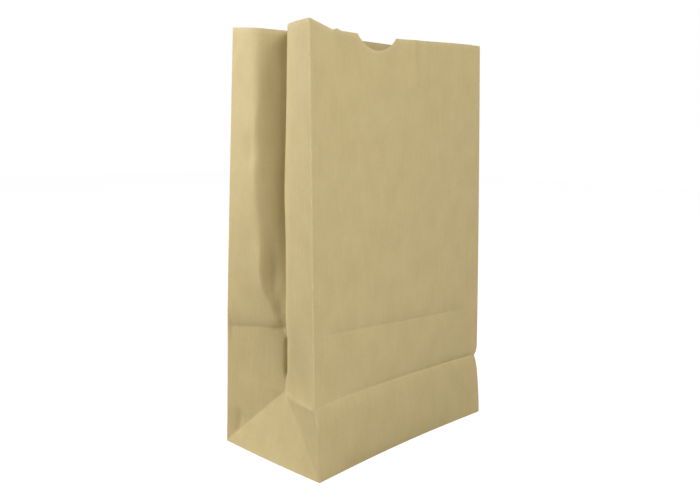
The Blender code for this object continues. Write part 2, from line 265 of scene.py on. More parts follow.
@dataclass(frozen=True)
class FoldedTube:
    """Where the folded paper goes: every point of the tube, from its two lengths on the paper.

    The flats are how far each half of a gusset runs along the bag's side before it turns in, the
    shoulders are how much of that turn is rounded, and a rise is the height over which a shape
    changes into the next. The drops are how far parts of the cut edge lie below the full height.
    """

    width: float = 0.200
    depth: float = 0.105
    height: float = 0.322
    paper: float = 0.0003
    front_left: CornerEdge = CornerEdge(
        -1, -1, (-0.0042, 0.0093), (-0.0005, 0.0029), bow=(0.0014, 0.0015)
    )
    front_right: CornerEdge = CornerEdge(
        1, -1, (-0.0042, 0.0127), (-0.0021, 0.0008),
        kink_under=0.0300, kink_curve=2.0, knock=(-0.0030, 0.0010),
    )
    back_right: CornerEdge = CornerEdge(1, 1, (0.0040, -0.0062))
    back_left: CornerEdge = CornerEdge(
        -1, 1, (0.0040, -0.0062), (-0.0011, 0.0), kink_up=0.105, kink_under=0.0500,
        bow=(-0.0011, -0.0010),
    )
    front_flat_foot: float = 0.0300
    front_flat_mouth: float = 0.0245
    back_flat_low: float = 0.0340
    back_flat_mouth: float = 0.0290
    flat_most: float = 0.97
    cup_rise: float = 0.0360
    shoulder_room: float = 0.9
    front_shoulder_low: float = 0.0060
    front_shoulder_mouth: float = 0.0120
    back_shoulder_low: float = 0.0018
    back_shoulder_mouth: float = 0.0100
    front_turn_rise: float = 0.0640
    front_close_rise: float = 0.0420
    back_turn_rise: float = 0.1050
    panel_belly: float = 0.0020
    foot_bow: float = 0.0034
    side_foot_bow: float = 0.0010
    crease_pinch: float = 0.0016
    crease_reach: float = 0.0080
    crease_rise: float = 0.0032
    crease_skew: float = 0.66
    imprint_depth: float = 0.0007
    imprint_slant: float = 0.0090
    front_cut_drop: float = 0.0092
    front_right_drop: float = 0.0048
    front_left_drop: float = 0.0038
    left_ear: float = 0.0215
    tooth_half: float = 0.0043
    ear_step: float = 0.0013
    back_left_drop: float = 0.0030
    pleat_cut_drop: float = 0.0010
    notch_width: float = 0.0425
    notch_depth: float = 0.0100
    notch_centre: float = 0.0675
    seam_edge: float = 0.0450
    bend_radius: float = 0.0005
    bend_weights: tuple[tuple[float, float], ...] = ((-1.0, 0.25), (0.0, 0.5), (1.0, 0.25))

    @property
    def half(self) -> float:
        """Half a gusset, which is also the height of its apex and of the lower crease."""
        return self.depth / 2

    @property
    def foot_level(self) -> float:
        """Height of the bottom sheet's underside, on the two glued flaps."""
        return 2 * self.paper

    @property
    def girth(self) -> float:
        """Length of paper once round the tube."""
        return 2 * (self.width + self.depth)

    @property
    def panel_starts(self) -> tuple[float, float, float, float]:
        """Place round the tube where each panel starts."""
        return 0.0, self.width, self.width + self.depth, 2 * self.width + self.depth

    def panel_at(self, around: np.ndarray) -> np.ndarray:
        """Number of the panel that each place round the tube lies on."""
        return np.searchsorted(self.panel_starts, around, side="right") - 1

    def edge(self, side: int, face: int) -> CornerEdge:
        """Corner edge on a side (-1 left, 1 right) and face (-1 front, 1 back)."""
        edges = (self.front_left, self.front_right, self.back_right, self.back_left)
        return next(edge for edge in edges if (edge.side, edge.face) == (side, face))

    def corner(self, side: int, face: int, up: np.ndarray) -> np.ndarray:
        """Points of a corner edge.

        Args:
            side: -1 for left or 1 for right.
            face: -1 for front or 1 for back.
            up: Lengths up from the bottom fold.

        Returns:
            One point for each length.
        """
        edge = self.edge(side, face)
        up = np.asarray(up, dtype=float)
        below = np.exp(-(edge.kink_up - up) / edge.kink_under) * ease(up / edge.kink_under)
        above = np.maximum(self.height - up, 0.0) / (self.height - edge.kink_up)
        above = above ** edge.kink_curve
        pulled = np.where(up < edge.kink_up, below, above)
        gap = up - edge.kink_up
        knock = np.exp(-np.abs(gap) / np.where(gap > 0.0, edge.knock_over, edge.knock_under))
        climb = np.clip((up - self.half) / (self.height - self.half), 0.0, 1.0)
        bowed = np.sin(math.pi * climb ** edge.bow_curve)
        lean = math.hypot(*edge.mouth)
        rise = math.sqrt(self.height ** 2 - lean ** 2) / self.height
        axes = []
        for axis, foot in ((0, side * self.width / 2), (1, face * self.depth / 2)):
            shift = edge.mouth[axis] * up / self.height
            pulls = edge.kink[axis] * pulled + edge.knock[axis] * knock + edge.bow[axis] * bowed
            axes.append(foot + shift + pulls)
        return np.stack([axes[0], axes[1], self.foot_level + up * rise], axis=-1)

    def imprint(self, panel: Panel, share: np.ndarray) -> np.ndarray:
        """Height of the upper crease.

        Args:
            panel: Panel that it crosses.
            share: Share of the way across that panel, or of the way back along a gusset.

        Returns:
            Lengths up from the bottom fold.
        """
        slant = share if panel in (Panel.FRONT, Panel.LEFT) else np.ones_like(share)
        return self.depth - self.imprint_slant * slant

    def fade(self, distance: np.ndarray) -> np.ndarray:
        """1 on a crease, falling off on both sides of a sharp ridge."""
        return np.exp(-np.abs(distance) / self.crease_reach)

    def front(self, across: np.ndarray, up: np.ndarray) -> np.ndarray:
        """Points of the front panel.

        Args:
            across: Lengths across it from its left corner.
            up: Lengths up from the bottom fold.

        Returns:
            One point for each pair of lengths.
        """
        share = across / self.width
        swell = np.sin(math.pi * np.clip(share, 0.0, 1.0))
        push = self.foot_bow * swell * np.exp(-up / self.crease_reach)
        push += self.crease_pinch * np.sqrt(swell) * self.fade(up - self.half) * (0.5 + share / 2)
        imprint = self.imprint(Panel.FRONT, share)
        push += self.imprint_depth * np.sqrt(swell) * self.fade(up - imprint)
        push -= self.panel_belly * swell * np.sin(math.pi * up / self.height)
        lift = self.crease_rise * np.sin(math.pi * np.clip(share, 0.0, 1.0) ** self.crease_skew)
        lift *= ease(up / self.half) * ease((self.depth - up) / self.half)
        points = between(self.corner(-1, -1, up), self.corner(1, -1, up), share)
        return points + np.stack([np.zeros_like(push), push, lift], axis=-1)

    def back(self, across: np.ndarray, up: np.ndarray) -> np.ndarray:
        """Points of the back panel.

        Args:
            across: Lengths across it from the bag's right corner.
            up: Lengths up from the bottom fold.

        Returns:
            One point for each pair of lengths.
        """
        share = across / self.width
        swell = np.sin(math.pi * np.clip(share, 0.0, 1.0))
        push = self.foot_bow * swell * np.exp(-up / self.crease_reach)
        imprint = self.imprint(Panel.BACK, share)
        push += self.imprint_depth * np.sqrt(swell) * self.fade(up - imprint)
        push -= self.panel_belly * swell * np.sin(math.pi * up / self.height)
        points = between(self.corner(1, 1, up), self.corner(-1, 1, up), share)
        return points - np.stack([np.zeros_like(push), push, np.zeros_like(push)], axis=-1)

    @staticmethod
    def meet(
        front: np.ndarray, front_length: np.ndarray, back: np.ndarray, back_length: np.ndarray
    ) -> np.ndarray:
        """Where two lengths of paper meet inside the bag, seen in plan.

        Args:
            front: Plan points that the first length starts from.
            front_length: The first length.
            back: Plan points that the second length starts from.
            back_length: The second length.

        Returns:
            Plan points at both lengths.
        """
        span = back - front
        base = np.linalg.norm(span, axis=-1)
        front_length = np.minimum(front_length, base + back_length)
        foot = (front_length ** 2 - back_length ** 2 + base ** 2) / (2 * base)
        foot = np.clip(foot, -front_length, front_length)
        height = np.sqrt(np.maximum(0.0, front_length ** 2 - foot ** 2))
        way = scaled(span, 1.0 / base)
        inward = np.stack([way[..., 1], -way[..., 0]], axis=-1)
        return front + scaled(way, foot) + scaled(inward, height)

    def turn(
        self,
        start: np.ndarray,
        bend: np.ndarray,
        end: np.ndarray,
        flat: np.ndarray,
        shoulder: np.ndarray,
        length: np.ndarray,
    ) -> np.ndarray:
        """Half a gusset in plan: flat along the side, then turned in, with a rounded bend.

        Args:
            start: Plan points of the corner.
            bend: Plan points where the two flat parts would meet.
            end: Plan points of the inner crease.
            flat: Length from the corner to the bend.
            shoulder: Length on each side of the bend that is rounded.
            length: Lengths from the corner that are asked for.

        Returns:
            One plan point for each length.
        """
        tail = self.half - flat
        reach = np.minimum(shoulder, self.shoulder_room * np.minimum(tail, flat))
        near = between(start, bend, length / flat)
        far = between(bend, end, (length - flat) / tail)
        share = (length - flat + reach) / (2 * reach)
        first = between(bend, start, reach / flat)
        last = between(bend, end, reach / tail)
        rounded = between(between(first, bend, share), between(bend, last, share), share)
        plan = np.where((length <= flat - reach)[..., None], near, rounded)
        return np.where((length >= flat + reach)[..., None], far, plan)

    def apex(self, side: int) -> np.ndarray:
        """Point where a gusset's folds meet, half a gusset above the bottom fold.

        Args:
            side: -1 for left or 1 for right.

        Returns:
            The point.
        """
        front = self.corner(side, -1, self.half)
        back = self.corner(side, 1, self.half)
        inset = math.sqrt(max(0.0, self.half ** 2 - (np.linalg.norm(back - front) / 2) ** 2))
        drop = self.half - math.sqrt(self.half ** 2 - inset ** 2)
        return (front + back) / 2 + np.array([-side * inset, 0.0, -drop])

    def low_gusset(self, side: int, along: np.ndarray, up: np.ndarray) -> np.ndarray:
        """Points of a gusset below its apex: one big triangle between two small ones.

        Args:
            side: -1 for left or 1 for right.
            along: Lengths back from the front corner.
            up: Lengths up from the bottom fold.

        Returns:
            One point for each pair of lengths.
        """
        apex = self.apex(side)
        front_foot, back_foot = self.corner(side, -1, 0.0), self.corner(side, 1, 0.0)
        from_back = self.depth - along
        near = np.minimum(along, from_back)
        share = up / self.half
        room = np.maximum(self.depth - 2 * up, 1e-9)
        place = np.clip((along - up) / room, 0.0, 1.0)
        wide = between(between(front_foot, apex, share), between(back_foot, apex, share), place)
        bow = self.side_foot_bow * np.sin(math.pi * place) * np.exp(-up / self.crease_reach)
        wide = wide + np.stack([side * bow, np.zeros_like(bow), np.zeros_like(bow)], axis=-1)
        inner = np.clip(near / self.half, 0.0, 1.0)
        narrow = {}
        for face, foot in ((-1, front_foot), (1, back_foot)):
            top = self.corner(side, face, self.half)
            edge, edge_at_near = self.corner(side, face, up), self.corner(side, face, near)
            climb = np.clip((up - near) / np.maximum(self.half - near, 1e-9), 0.0, 1.0)
            slack = edge - between(edge_at_near, top, climb)
            narrow[face] = between(between(foot, apex, inner), between(top, apex, inner), climb)
            narrow[face] = narrow[face] + scaled(slack, 1.0 - inner)
        small = np.where((along < from_back)[..., None], narrow[-1], narrow[1])
        return np.where((up <= near)[..., None], wide, small)

    def high_gusset(self, side: int, along: np.ndarray, up: np.ndarray) -> np.ndarray:
        """Points of a gusset above its apex, where it closes into a pleat.

        Args:
            side: -1 for left or 1 for right.
            along: Lengths back from the front corner.
            up: Lengths up from the bottom fold.

        Returns:
            One point for each pair of lengths.
        """
        front, back = self.corner(side, -1, up), self.corner(side, 1, up)
        span = back - front
        depth = np.linalg.norm(span, axis=-1)
        half = self.half
        open_angle = np.arccos(np.minimum(1.0, depth / (2 * half)))
        climb = (up - half) / (self.height - half)
        front_flat = mix(self.front_flat_foot, self.front_flat_mouth, climb)
        unturned = np.clip(1.0 - (up - half) / self.front_close_rise, 0.0, 1.0)
        front_flat = mix(front_flat, self.flat_most * half, unturned)
        back_climb = np.clip((up - self.depth) / (self.height - self.depth), 0.0, 1.0)
        back_flat = mix(self.back_flat_low, self.back_flat_mouth, back_climb)
        cupped = 1.0 - ease((up - self.depth) / self.cup_rise)
        back_flat = mix(back_flat, self.flat_most * half, cupped)
        front_angle = open_angle * (1.0 - ease((up - half) / self.front_turn_rise))
        front_bend = scaled(np.stack([np.sin(front_angle), np.cos(front_angle)], -1), front_flat)
        back_corner = np.stack([np.zeros_like(depth), depth], axis=-1)
        straight = self.meet(front_bend, half - front_flat, back_corner, np.full_like(up, half))
        straight = straight - back_corner
        back_angle = np.arctan2(straight[..., 0], -straight[..., 1])
        back_angle = back_angle * (1.0 - ease((up - self.depth) / self.back_turn_rise))
        back_way = np.stack([np.sin(back_angle), -np.cos(back_angle)], axis=-1)
        back_bend = back_corner + scaled(back_way, back_flat)
        crease = self.meet(front_bend, half - front_flat, back_bend, half - back_flat)
        front_reach = mix(self.front_shoulder_low, self.front_shoulder_mouth, climb ** 2)
        back_reach = mix(self.back_shoulder_low, self.back_shoulder_mouth, climb ** 2)
        in_front = along <= half
        from_front = np.minimum(along, half)
        from_back = np.minimum(self.depth - along, half)
        origin = np.zeros_like(crease)
        front_plan = self.turn(origin, front_bend, crease, front_flat, front_reach, from_front)
        back_plan = self.turn(back_corner, back_bend, crease, back_flat, back_reach, from_back)
        plan = np.where(in_front[..., None], front_plan, back_plan)
        place = np.where(in_front, from_front, from_back) / half
        middle = (front[..., 2] + back[..., 2]) / 2
        base = np.where(in_front, mix(front[..., 2], middle, place), mix(back[..., 2], middle, place))
        backward = scaled(span[..., :2], 1.0 / np.linalg.norm(span[..., :2], axis=-1))
        inward = np.stack([backward[..., 1], -backward[..., 0]], axis=-1) * -side
        flat = front[..., :2] + scaled(inward, plan[..., 0]) + scaled(backward, plan[..., 1])
        lowered = self.corner(side, -1, half)[2] - self.apex(side)[2]
        return np.concatenate([flat, (base - lowered * place)[..., None]], axis=-1)

    def folded(self, around: np.ndarray, up: np.ndarray) -> np.ndarray:
        """Points of the tube with perfectly sharp folds.

        Args:
            around: Lengths round the tube, of any number of turns.
            up: Lengths up from the bottom fold. Below 0 they run in under the bag.

        Returns:
            One point for each pair of lengths.
        """
        around = np.mod(around, self.girth)
        wall = np.maximum(up, 0.0)
        panel = self.panel_at(around)
        place = around - np.asarray(self.panel_starts)[panel]
        points = np.empty(around.shape + (3,))
        inward = np.array([(0, 1, 0), (-1, 0, 0), (0, -1, 0), (1, 0, 0)], dtype=float)
        for item in Panel:
            here = panel == item.value
            if not here.any():
                continue
            length, level = place[here], wall[here]
            if item is Panel.FRONT:
                points[here] = self.front(length, level)
            elif item is Panel.BACK:
                points[here] = self.back(length, level)
            else:
                side = 1 if item is Panel.RIGHT else -1
                along = length if side > 0 else self.depth - length
                low = self.low_gusset(side, along, np.minimum(level, self.half))
                high = self.high_gusset(side, along, np.maximum(level, self.half))
                points[here] = np.where((level <= self.half)[..., None], low, high)
        return points + scaled(inward[panel], np.maximum(-up, 0.0))

    def sheet(self, around: np.ndarray, up: np.ndarray) -> np.ndarray:
        """Points of the tube with each fold rounded over the paper's own bend radius.

        Args:
            around: Lengths round the tube.
            up: Lengths up from the bottom fold.

        Returns:
            One point for each pair of lengths.
        """
        total = np.zeros(around.shape + (3,))
        for shift, weight in self.bend_weights:
            for climb, share in self.bend_weights:
                place = around + shift * self.bend_radius
                level = up + climb * self.bend_radius
                total += weight * share * self.folded(place, level)
        return total

    def normal(self, around: np.ndarray, up: np.ndarray) -> np.ndarray:
        """Outward unit normals of the rounded tube.

        Args:
            around: Lengths round the tube.
            up: Lengths up from the bottom fold.

        Returns:
            One normal for each pair of lengths.
        """
        step = self.bend_radius
        along = self.sheet(around + step, up) - self.sheet(around - step, up)
        climb = self.sheet(around, up + step) - self.sheet(around, up - step)
        normal = np.cross(along, climb)
        return normal / np.maximum(np.linalg.norm(normal, axis=-1, keepdims=True), 1e-12)

    def front_cut(self, across: np.ndarray) -> np.ndarray:
        """Height of the front panel's cut edge, with its raised ear, tooth and thumb notch.

        Args:
            across: Lengths across the panel from its left corner.

        Returns:
            One height for each length.
        """
        climb = ease((across - self.notch_centre) / (self.width - self.notch_centre))
        plain = self.height - mix(self.front_cut_drop, self.front_right_drop, climb)
        ear = mix(self.height - self.front_left_drop, plain, across / self.left_ear)
        tooth = 1.0 - np.abs(across - self.left_ear - self.tooth_half) / self.tooth_half
        offset = across - self.notch_centre
        radius = (self.notch_width ** 2 / 4 + self.notch_depth ** 2) / (2 * self.notch_depth)
        drop = np.sqrt(np.maximum(radius ** 2 - offset ** 2, 0.0)) - (radius - self.notch_depth)
        inside = np.abs(offset) < self.notch_width / 2
        edge = plain + self.ear_step * np.maximum(tooth, 0.0) - np.where(inside, drop, 0.0)
        return np.where(across < self.left_ear, ear, edge)

    def back_cut(self, across: np.ndarray) -> np.ndarray:
        """Height of the back panel's cut edge, which falls away at its left end."""
        return self.height - self.back_left_drop * ease(2 * across / self.width - 1.0)

    def gusset_cut(self, side: int, along: np.ndarray) -> np.ndarray:
        """Height of a gusset's cut edge, lowest at its inner crease.

        Args:
            side: -1 for left or 1 for right.
            along: Lengths back from the front corner.

        Returns:
            One height for each length.
        """
        front = self.front_cut(np.array(0.0 if side < 0 else self.width))
        back = self.back_cut(np.array(self.width if side < 0 else 0.0))
        inner = (front + back) / 2 - self.pleat_cut_drop
        from_front = mix(front, inner, along / self.half)
        from_back = mix(back, inner, (self.depth - along) / self.half)
        return np.where(along <= self.half, from_front, from_back)

    def cut(self, around: np.ndarray) -> np.ndarray:
        """Height of the cut edge all round.

        Args:
            around: Lengths round the tube, on the first turn.

        Returns:
            One height for each length.
        """
        starts = self.panel_starts
        along_left = self.depth - (around - starts[3])
        cuts = [
            self.front_cut(around),
            self.gusset_cut(1, around - starts[1]),
            self.back_cut(around - starts[2]),
            self.gusset_cut(-1, along_left),
        ]
        return np.choose(self.panel_at(around), cuts)

    def crease_height(self, around: np.ndarray) -> np.ndarray:
        """Height of the upper crease all round.

        Args:
            around: Lengths round the tube, on the first turn.

        Returns:
            One height for each length.
        """
        starts = self.panel_starts
        along_left = self.depth - (around - starts[3])
        heights = [
            self.imprint(Panel.FRONT, around / self.width),
            self.imprint(Panel.RIGHT, (around - starts[1]) / self.depth),
            self.imprint(Panel.BACK, (around - starts[2]) / self.width),
            self.imprint(Panel.LEFT, along_left / self.depth),
        ]
        return np.choose(self.panel_at(around), heights)


# Marks of use on the paper


@dataclass(frozen=True)
class Dent:
    """Soft hollow or swelling in one panel.

    The place is across the panel from its left end as seen from outside, and up from the bottom
    fold. A depth above 0 goes into the bag.
    """

    panel: Panel
    across: float
    up: float
    reach_across: float
    reach_up: float
    depth: float
    lean: float = 0.0

    def push(self, across: np.ndarray, up: np.ndarray) -> np.ndarray:
        """How far it pushes places on its panel in.

        Args:
            across: Lengths across the panel.
            up: Lengths up from the bottom fold.

        Returns:
            One depth for each place.
        """
        turn, shift, climb = math.radians(self.lean), across - self.across, up - self.up
        first = (shift * math.cos(turn) + climb * math.sin(turn)) / self.reach_across
        second = (climb * math.cos(turn) - shift * math.sin(turn)) / self.reach_up
        return self.depth * np.exp(-(first ** 2 + second ** 2))


@dataclass(frozen=True)
class Wrinkle:
    """Narrow crease along a path in one panel, sharp in the middle but for a blunt width.

    The path goes through places across and up, as for a dent. The crease is reach wide to the
    left of its way and other_reach to the right, and fades in and out over shares of its length.
    A depth below 0 makes it a ridge.
    """

    panel: Panel
    path: tuple[tuple[float, float], ...]
    reach: float
    depth: float
    other_reach: float | None = None
    fade_in: float = 0.2
    fade_out: float = 0.2
    blunt: float = 0.0003

    def push(self, across: np.ndarray, up: np.ndarray) -> np.ndarray:
        """How far it pushes places on its panel in.

        Args:
            across: Lengths across the panel.
            up: Lengths up from the bottom fold.

        Returns:
            One depth for each place.
        """
        nearest = np.full_like(across, np.inf)
        left = np.zeros(across.shape, dtype=bool)
        place = np.zeros_like(across)
        run = 0.0
        for start, end in zip(self.path, self.path[1:]):
            length = math.dist(start, end)
            way = ((end[0] - start[0]) / length, (end[1] - start[1]) / length)
            shift, climb = across - start[0], up - start[1]
            reached = np.clip(shift * way[0] + climb * way[1], 0.0, length)
            gap = np.hypot(shift - reached * way[0], climb - reached * way[1])
            closer = gap < nearest
            nearest = np.where(closer, gap, nearest)
            left = np.where(closer, climb * way[0] - shift * way[1] >= 0.0, left)
            place = np.where(closer, run + reached, place)
            run += length
        reach = np.where(left, self.reach, self.other_reach or self.reach)
        soft = np.sqrt(nearest ** 2 + self.blunt ** 2) - self.blunt
        shown = ease((place + 1e-9) / max(self.fade_in * run, 1e-9))
        shown = shown * ease((run - place + 1e-9) / max(self.fade_out * run, 1e-9))
        return self.depth * shown * np.exp(-soft / reach)


@dataclass(frozen=True)
class Handling:
    """Every dent and wrinkle that the bag has taken from being opened and filled."""

    marks: tuple[Dent | Wrinkle, ...] = (
        # Left gusset: the ridge of the lower crease, and the wrinkle in the back left corner
        Wrinkle(
            Panel.LEFT, ((0.0540, 0.0520), (0.0640, 0.0490), (0.1050, 0.0525)),
            reach=0.0022, depth=-0.0010, other_reach=0.0070, fade_in=0.10, fade_out=0.08,
        ),
        Wrinkle(
            Panel.LEFT, ((0.0102, 0.0330), (0.0122, 0.0220), (0.0105, 0.0115), (0.0050, 0.0070)),
            reach=0.0026, depth=0.0019, other_reach=0.0036, fade_in=0.45, fade_out=0.3,
        ),
        # Lip of the cup, edge of the groove above it, and the upper crease
        Wrinkle(
            Panel.LEFT,
            (
                (0.0320, 0.1850), (0.0335, 0.1640), (0.0322, 0.1480), (0.0325, 0.1395),
                (0.0330, 0.1325), (0.0365, 0.1255), (0.0423, 0.1145), (0.0467, 0.1075),
                (0.0500, 0.1015),
            ),
            reach=0.0028, depth=-0.0027, other_reach=0.0080, fade_in=0.45, fade_out=0.08,
        ),
        Wrinkle(
            Panel.LEFT,
            ((0.0310, 0.3000), (0.0330, 0.2680), (0.0270, 0.2340), (0.0300, 0.2050), (0.0320, 0.1850)),
            reach=0.0060, depth=-0.0010, other_reach=0.0070, fade_in=0.30, fade_out=0.30,
        ),
        Wrinkle(
            Panel.LEFT,
            ((0.0005, 0.0950), (0.0118, 0.0960), (0.0252, 0.0980), (0.0385, 0.0995), (0.0507, 0.1015)),
            reach=0.0050, depth=0.0015, other_reach=0.0100, fade_in=0.06, fade_out=0.02,
        ),
        # The dark slit beside the inner crease
        Wrinkle(
            Panel.LEFT, ((0.0520, 0.0600), (0.0516, 0.0965)),
            reach=0.0010, depth=0.0020, other_reach=0.0012, fade_in=0.25, fade_out=0.10,
        ),
        # Hollows and nicks in the cup, the groove and the plain part beside it
        Dent(Panel.LEFT, 0.0400, 0.1420, 0.0048, 0.0200, 0.0022),
        Dent(Panel.LEFT, 0.0460, 0.1170, 0.0040, 0.0080, 0.0012),
        Dent(Panel.LEFT, 0.0400, 0.2500, 0.0070, 0.0500, 0.0014),
        Dent(Panel.LEFT, 0.0328, 0.1395, 0.0012, 0.0016, 0.0018),
        Dent(Panel.LEFT, 0.0357, 0.3135, 0.0007, 0.0012, 0.0009),
        Dent(Panel.LEFT, 0.0240, 0.2320, 0.0060, 0.0130, 0.0018),
        Dent(Panel.LEFT, 0.0300, 0.0800, 0.0160, 0.0140, 0.0006),
        # Right gusset: both creases and one hollow
        Wrinkle(
            Panel.RIGHT, ((0.0, 0.0525), (0.0500, 0.0515)),
            reach=0.0060, depth=-0.0011, other_reach=0.0060, fade_in=0.20, fade_out=0.10,
        ),
        Wrinkle(
            Panel.RIGHT, ((0.0550, 0.1005), (0.1045, 0.0965)),
            reach=0.0055, depth=0.0009, other_reach=0.0090, fade_in=0.05, fade_out=0.10,
        ),
        Dent(Panel.RIGHT, 0.0800, 0.2100, 0.0100, 0.0250, 0.0012),
        # Front panel: the lower crease, deeper at its right end, and the upper crease
        Wrinkle(
            Panel.FRONT, ((0.0300, 0.0522), (0.1950, 0.0522)),
            reach=0.0014, depth=0.0005, other_reach=0.0010, fade_in=0.3, fade_out=0.05,
        ),
        Wrinkle(
            Panel.FRONT, ((0.1450, 0.0522), (0.1970, 0.0522)),
            reach=0.0016, depth=0.0006, other_reach=0.0010, fade_in=0.3, fade_out=0.05,
        ),
        Wrinkle(
            Panel.FRONT, ((0.0040, 0.1046), (0.1960, 0.0960)),
            reach=0.0022, depth=0.0007, other_reach=0.0070, fade_in=0.15, fade_out=0.3,
        ),
        # The ridge that makes a step in tone right of the thumb notch, wide and then narrow
        Wrinkle(
            Panel.FRONT, ((0.1092, 0.3200), (0.1084, 0.2600)),
            reach=0.0120, depth=-0.0012, other_reach=0.0100, fade_in=0.0, fade_out=0.50,
        ),
        Wrinkle(
            Panel.FRONT, ((0.1092, 0.3200), (0.1084, 0.2600)),
            reach=0.0050, depth=-0.0010, other_reach=0.0040, fade_in=0.0, fade_out=0.50,
        ),
        # What hands left on the front
        Dent(Panel.FRONT, 0.1500, 0.2000, 0.0400, 0.0500, 0.0010),
        Dent(Panel.FRONT, 0.0500, 0.1600, 0.0350, 0.0600, -0.0008),
        Dent(Panel.FRONT, 0.0700, 0.0640, 0.0090, 0.0060, 0.0005),
        Dent(Panel.FRONT, 0.1150, 0.0250, 0.0040, 0.0080, 0.0004),
        # Back panel
        Dent(Panel.BACK, 0.0600, 0.1700, 0.0400, 0.0600, 0.0012),
        Dent(Panel.BACK, 0.1400, 0.2200, 0.0350, 0.0500, -0.0009),
        Wrinkle(
            Panel.BACK, ((0.0200, 0.2400), (0.0480, 0.2150)),
            reach=0.0040, depth=0.0005, other_reach=0.0060, fade_in=0.4, fade_out=0.4,
        ),
    )

    def push(self, tube: FoldedTube, around: np.ndarray, up: np.ndarray) -> np.ndarray:
        """How far the marks push each place of the tube in.

        Args:
            tube: The tube that they are on.
            around: Lengths round it.
            up: Lengths up from the bottom fold.

        Returns:
            One depth for each place.
        """
        panel = tube.panel_at(around)
        place = around - np.asarray(tube.panel_starts)[panel]
        total = np.zeros_like(up)
        for mark in self.marks:
            here = (panel == mark.panel.value) & (up >= 0.0)
            total[here] += mark.push(place[here], up[here])
        return total


# The finish


